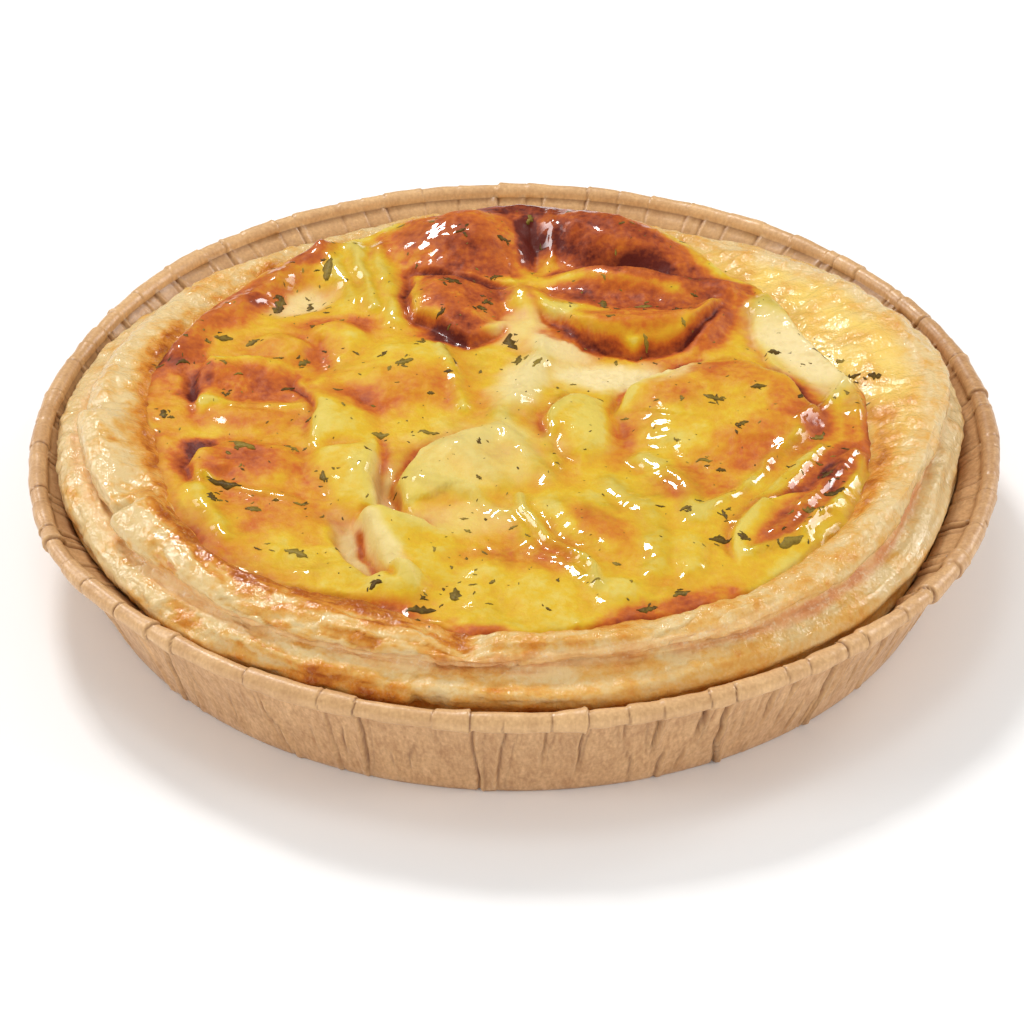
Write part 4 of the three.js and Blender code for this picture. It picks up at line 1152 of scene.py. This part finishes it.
def fillingMasks(x, y, z, toEdge):  # bake from 0 pale to 1 dark with painted light and shade in it, cream, and where the top is wet or dull
    tint = filling["tint"]
    wobble = 0.65 * fillingNoise(x, y, "wobble")
    left = ringSway(np.degrees(np.arctan2(y, x)), filling["glazedSide"])
    bentX, bentY = bentPlace(x, y)
    bakeAndShading = patchMask(x, y, filling["browned"], wobble) + tint["ground"]
    bakeAndShading += tint["tone"] * fillingNoise(x, y, "tone")
    # painted shade in hollows and painted light on crests, near and wide
    bakeAndShading += tint["hollow"] * np.clip(blurred(z, 9) - z, -0.6, 0.7)
    bakeAndShading += tint["wideHollow"] * np.clip(blurred(z, 22) - z, -1.0, 1.2)
    glaze = tint["edge"] + tint["glazedEdge"] * left * np.clip(0.7 + wobble, 0, 1.2)
    bakeAndShading += tint["glazed"] * left + glaze * bell(toEdge, 3.2 + 3 * left)
    # painted shade at the foot of each step and painted light along its top
    for line, rise, _, _ in filling["foldSteps"].values():
        apart, ends = lineSide(bentX, bentY, line)
        shade = tint["stepFoot"] * bell(apart + 0.9, 0.8) - tint["stepTop"] * bell(apart - 0.9, 0.9)
        bakeAndShading += rise * ends * shade
    wet = np.zeros_like(x)
    for line, width, rise in filling["ridges"].values():
        if rise > 0:
            wet = np.maximum(wet, bell(lineApart(bentX, bentY, line), width + 0.4, 4))
    cream = patchMask(x, y, filling["creamy"], wobble)
    bakeAndShading -= tint["cream"] * cream ** 2
    cream = cream * (1 - smoothStep(0.3, 0.55, bakeAndShading))
    return {"bakeAndShading": bakeAndShading, "cream": cream, "wet": wet, "dull": 0.7 * cream + 0.6 * left}


def makeFilling():
    side = filling["grid"]
    x, y = discGrid(side)
    reach = fillingEdge(np.degrees(np.arctan2(y, x)))
    x, y = x * reach, y * reach
    z = fillingTop(x, y)
    masks = fillingMasks(x, y, z, reach - np.hypot(x, y))
    z = z + filling["relief"]["curd"] * masks["cream"] ** 2 * np.abs(fillingNoise(x, y, "curd"))
    border = np.concatenate([np.arange(side) * side, (side - 1) * side + np.arange(1, side),
                             np.arange(side - 2, -1, -1) * side + side - 1, np.arange(side - 2, 0, -1)])
    top = np.stack([x, y, z], -1).reshape(-1, 3)
    foot = top[border] * (0.9, 0.9, 0)
    foot[:, 2] = filling["floor"]
    verts = np.concatenate([top, foot, [[0, 0, filling["floor"]]]])
    corner = np.arange(side * side).reshape(side, side)[:-1, :-1].ravel()
    faces = quadsBetween(corner, corner + side).tolist()
    first, count = side * side, len(border)
    for k in range(count):
        following = (k + 1) % count
        faces.append([border[k], first + k, first + following, border[following]])
        faces.append([first + k, first + count, first + following])
    unseen = np.zeros(count + 1)
    masks = {key: np.concatenate([value.ravel(), unseen]) for key, value in masks.items()}
    piece = makePiece("filling_top", verts, faces, masks, fillingFinish())
    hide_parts("filling")
    print("filling:", len(piece.data.polygons), "faces")


# herb flakes, mostly flat on the filling

herbs = {
    "count": 460, "smallest": 0.3, "largest": 1.6, "reach": 55.0,  # the scattered flakes
    "crumbs": 3, "crumbLength": (0.4, 1.2), "strewn": 0.45,  # small bits beside each larger leaf
    "thickness": 0.2, "widest": 1.7, "gap": 0.03, "steps": 9, "curl": 0.1,
    # breadth as a share of the length, how ragged and uneven a flake is, and how its sides and middle lie up
    "flakeBreadth": (0.3, 0.6), "leafBreadth": (0.3, 0.7), "ragged": (0.35, 1.3), "uneven": (0.9, 1.1),
    "lifts": (0.02, 0.1, 0.02),
    # the larger leaves: middle, length, turn in degrees, and tone from dark to green
    "leaves": (((-30.6, 38), 4.6, 82, 0.7), ((-37.8, 29), 4.4, 75, 0.35), ((-33, 30.4), 4.2, 95, 0.2),
               ((-46, 17.5), 2.8, 0, 0.5), ((-41.5, 16.6), 2.2, 20, 0.6), ((-52, 10.5), 2.2, 10, 0.2),
               ((-55.6, 10), 1.4, 0, 0.3), ((-54, -4), 2.2, 100, 0.2), ((-44.5, 1), 1.4, 60, 0.3),
               ((-35.3, 3.6), 2.6, 40, 0.1), ((-33, 11), 2.0, 30, 0.6), ((-37, 11), 1.8, 10, 0.5),
               ((-41.4, -13.6), 5.0, -38, 0.75), ((-43.2, -23.5), 5.0, -14, 0.05),
               ((-45, -27), 2.2, 110, 0.1), ((-38.6, -29.6), 2.4, -20, 0.6),
               ((-31.8, -28.4), 2.0, 0, 0.6), ((-28.6, -22), 2.2, 100, 0.5),
               ((-31.6, -40.6), 3.8, -28, 0.8), ((-33.6, -13.5), 2.4, -30, 0.8),
               ((-13, -9), 3.0, -10, 0.7), ((-20.4, -9.6), 2.6, 0, 0.8), ((-20.4, 11), 1.6, 60, 0.3),
               ((-17.2, 8.4), 2.8, 20, 0.7), ((-14.6, 15.6), 2.0, 60, 0.4),
               ((-0.8, 16.6), 4.4, 105, 0.15), ((0.6, 11), 3.4, 80, 0.55),
               ((3.6, 8.6), 3.0, 60, 0.85), ((-8.8, 44), 1.9, 30, 0.1), ((-2, 44), 1.7, 0, 0.2),
               ((-10, 31), 3.2, -20, 0.1), ((-3, 35.6), 2.2, 30, 0.2), ((-4.4, 26.6), 2.0, 20, 0.2),
               ((-11.6, 22), 1.8, 40, 0.05), ((-5.2, 24.6), 1.8, 10, 0.2), ((-20, -50), 1.8, 20, 0.0),
               ((-8.4, -51), 3.0, 90, 0.4), ((-13.4, -54.4), 4.2, 6, 0.15),
               ((14.2, 26.6), 2.4, 95, 0.3), ((20.6, 25.4), 2.8, 0, 0.6), ((26, 24.6), 1.6, 0, 0.1),
               ((15.2, 19.6), 1.6, 30, 0.5), ((41.5, 14.4), 3.0, 4, 0.15),
               ((45.2, 11.4), 3.0, 6, 0.1), ((47.6, 14), 3.8, -50, 0.05), ((52.8, 6.6), 2.2, 0, 0.05),
               ((56, 5.6), 2.2, -10, 0.05), ((30.6, -3), 3.2, -20, 0.5), ((37.6, -0.6), 2.4, 0, 0.4),
               ((34.6, -9.6), 2.0, 30, 0.3), ((46.2, -11), 2.8, 40, 0.8), ((28.4, -17), 2.2, 0, 0.8),
               ((31, -31.4), 2.2, 105, 0.3), ((25.4, -30), 1.6, 0, 0.5), ((30, -37), 2.8, -4, 0.2),
               ((40.4, -38.4), 4.2, 32, 0.8), ((47.6, -26), 3.6, 28, 0.0),
               ((46.8, -21), 2.2, 40, 0.0), ((44.2, -31), 3.0, 10, 0.6),
               ((33.6, -37.6), 2.2, -40, 0.3), ((19, -54.5), 3.0, 18, 0.3),
               ((24, -50.4), 2.6, 24, 0.4)),
    "dark": (0.1, 0.055, 0.01), "green": (0.31, 0.215, 0.03),
    "gloss": {"Roughness": 0.45, "IOR": 1.25},
}


def herbFinish():
    material, tree, shader, place = startMaterial("dried herb", herbs["gloss"])
    tone = placeGroup(tree, mottle, {"Place": place, "Patch Scale": 900.0, "Speck Scale": 3000.0,
                                     "Speck Share": 0.4, "Low": 0.3, "High": 0.7})
    mixed = calc(tree, "ADD", readMask(tree, "tone"), spread(tree, tone, 0, 1, -0.5, 0.35), True)
    color = blendColor(tree, mixed, herbs["dark"], herbs["green"])
    tree.links.new(color, shader.inputs["Base Color"])
    height = placeGroup(tree, skin, {"Place": place, "Wrinkle Scale": 1500.0, "Pore Scale": 4000.0,
                                     "Pore Share": 0.3})
    addBump(tree, shader, height, 0.5, 0.0003)
    return material


def flakeList():  # each flake: middle, length, turn, tone
    golden = math.pi * (3 - math.sqrt(5))
    flakes = [(at, length, math.radians(turn), tone) for at, length, turn, tone in herbs["leaves"]]
    for k in range(herbs["count"]):
        reach = herbs["reach"] * math.sqrt((k + 0.5) / herbs["count"])
        turn = k * golden + draw.normal(0, 0.3)
        length = herbs["smallest"] + (herbs["largest"] - herbs["smallest"]) * draw.random() ** 3
        at = (reach * math.cos(turn), reach * math.sin(turn))
        flakes.append((at, length, draw.uniform(0, math.tau), draw.random()))
    for (x, y), length, turn, tone in herbs["leaves"]:
        for k in range(herbs["crumbs"]):
            away = draw.normal(0, herbs["strewn"] * length, 2)
            crumb = draw.uniform(*herbs["crumbLength"])
            at = (x + away[0], y + away[1])
            flakes.append((at, crumb, draw.uniform(0, math.tau), tone * draw.random()))
    return flakes


def flakeMesh(flakes):  # each flake is a ragged strip, raised a little along its middle
    verts, faces, tones = [], [], []
    along = np.linspace(-1, 1, herbs["steps"])
    for (x, y), length, turn, tone in flakes:
        breadth = herbs["flakeBreadth" if length < herbs["largest"] else "leafBreadth"]
        width = min(length * draw.uniform(*breadth), herbs["widest"])
        curl = draw.normal(0, herbs["curl"])
        start = len(verts)
        for side, lift in zip((-1, 0, 1), herbs["lifts"]):
            for t in along:
                half = width / 2 * (1 - 0.75 * t * t) * draw.uniform(*herbs["ragged"])
                u = t * length / 2 * draw.uniform(*herbs["uneven"])
                v = side * half + curl * length * t * t
                verts.append((x + u * math.cos(turn) - v * math.sin(turn),
                              y + u * math.sin(turn) + v * math.cos(turn), lift * min(1, length / 2)))
                tones.append(tone)
        for row in (0, 1):
            first = start + row * len(along) + np.arange(len(along) - 1)
            faces += np.stack([first, first + 1, first + 1 + len(along), first + len(along)], -1).tolist()
    return np.array(verts), faces, tones


def layFlakes(verts, slope):  # onto the filling, or the slope of the pastry where that is higher
    sector = np.round(np.degrees(np.arctan2(verts[:, 1], verts[:, 0])) * len(slope) / 360).astype(int)
    reach = np.hypot(verts[:, 0], verts[:, 1])
    pastryTop = []
    for r, row in zip(reach, slope[sector % len(slope)]):
        pastryTop.append(np.interp(r, np.hypot(row[:, 0], row[:, 1]), row[:, 2], left=0))
    verts[:, 2] += np.maximum(fillingTop(verts[:, 0], verts[:, 1]), pastryTop) + herbs["gap"]


def makeHerbs(slope):
    flakes = flakeList()
    verts, faces, tones = flakeMesh(flakes)
    layFlakes(verts, slope)
    piece = makePiece("herb_flakes", verts, faces, {"tone": tones}, herbFinish())
    thick = piece.modifiers.new("thickness", "SOLIDIFY")
    thick.thickness = herbs["thickness"] * mm
    thick.offset = -1
    print("herbs:", len(flakes), "flakes")


# floor, light and camera

studio = {
    "floor": (0.94, 0.94, 0.935), "floorSide": 6.0, "world": 0.55,
    # place in metres, side in metres, watts, and whether it lights matt surfaces and shows in glossy ones
    "lights": {"back": ((-0.3, 0.62, 0.9), 0.2, 5.3, True, True),
               "back right": ((0.75, 0.55, 0.7), 0.22, 1.2, True, True),
               "top": ((-0.1, 0.0, 1.1), 0.3, 1.2, True, False),
               "front": ((0.2, -1.2, 0.5), 0.6, 2.75, True, False),
               "left": ((-1.0, -0.25, 0.45), 0.25, 2.8, True, False),
               "right": ((1.0, -0.25, 0.45), 0.25, 2.6, True, False),
               "left sheen": ((-0.8, 0.4, 0.48), 0.45, 3.8, False, True),
               "right sheen": ((0.8, 0.4, 0.48), 0.45, 3.2, False, True)},
    "target": (0, 0, 0.02),
}
view = {
    "aim": (0, 0, 18.3), "distance": 586.4, "elevation": 33.65, "focalPixels": 3773.0,
    "aimPixel": (514.9, 431.7), "imageSide": 1024, "sensor": 36.0,
}


def makeFloor():
    half = studio["floorSide"] / 2
    mesh = bpy.data.meshes.new("floor")
    corners = [(x * half, y * half, 0) for x, y in ((-1, -1), (1, -1), (1, 1), (-1, 1))]
    mesh.from_pydata(corners, [], [(0, 1, 2, 3)])
    material, tree, shader, place = startMaterial("studio floor", {"Roughness": 0.8})
    tone = placeGroup(tree, mottle, {"Place": place, "Patch Scale": 4.0, "Speck Scale": 30.0})
    color = blendColor(tree, tone, studio["floor"], [c * 0.99 for c in studio["floor"]])
    tree.links.new(color, shader.inputs["Base Color"])
    mesh.materials.append(material)
    floor = bpy.data.objects.new("floor", mesh)
    bpy.context.scene.collection.objects.link(floor)


def makeLight():
    scene = bpy.context.scene
    world = bpy.data.worlds.new("studio")
    world.use_nodes = True
    world.node_tree.nodes["Background"].inputs["Color"].default_value = (1, 1, 1, 1)
    world.node_tree.nodes["Background"].inputs["Strength"].default_value = studio["world"]
    scene.world = world
    world.cycles_visibility.glossy = False  # gloss comes from the lamps alone
    for name, (place, side, watts, matt, glossy) in studio["lights"].items():
        lamp = bpy.data.lights.new(name, "AREA")
        lamp.size = side
        lamp.energy = watts
        holder = bpy.data.objects.new(name, lamp)
        holder.location = place
        holder.visible_diffuse = matt
        holder.visible_glossy = glossy
        holder.rotation_euler = (Vector(studio["target"]) - Vector(place)).to_track_quat("-Z", "Y").to_euler()
        scene.collection.objects.link(holder)
    scene.view_settings.view_transform = "Standard"
    print("studio:", len(studio["lights"]), "lamps")


def makeCamera():
    lens = bpy.data.cameras.new("camera")
    lens.sensor_width = view["sensor"]
    lens.lens = view["focalPixels"] / view["imageSide"] * view["sensor"]
    lens.clip_start = 0.01
    holder = bpy.data.objects.new("camera", lens)
    lift = math.radians(view["elevation"])
    away = view["distance"] * np.array([0, -math.cos(lift), math.sin(lift)])
    holder.location = ((np.array(view["aim"]) + away) * mm).tolist()
    half = view["imageSide"] / 2
    down = math.atan((half - view["aimPixel"][1]) / view["focalPixels"])
    left = math.atan((view["aimPixel"][0] - half) / view["focalPixels"])
    holder.rotation_euler = (math.pi / 2 - lift - down, 0, left)
    bpy.context.scene.collection.objects.link(holder)
    bpy.context.scene.camera = holder
    print("camera set")


makeFloor()
makeLight()
makeCamera()
makePaperCase()
slope = makePastry()
makeFilling()
makeHerbs(slope)
bpy.context.view_layer.update()
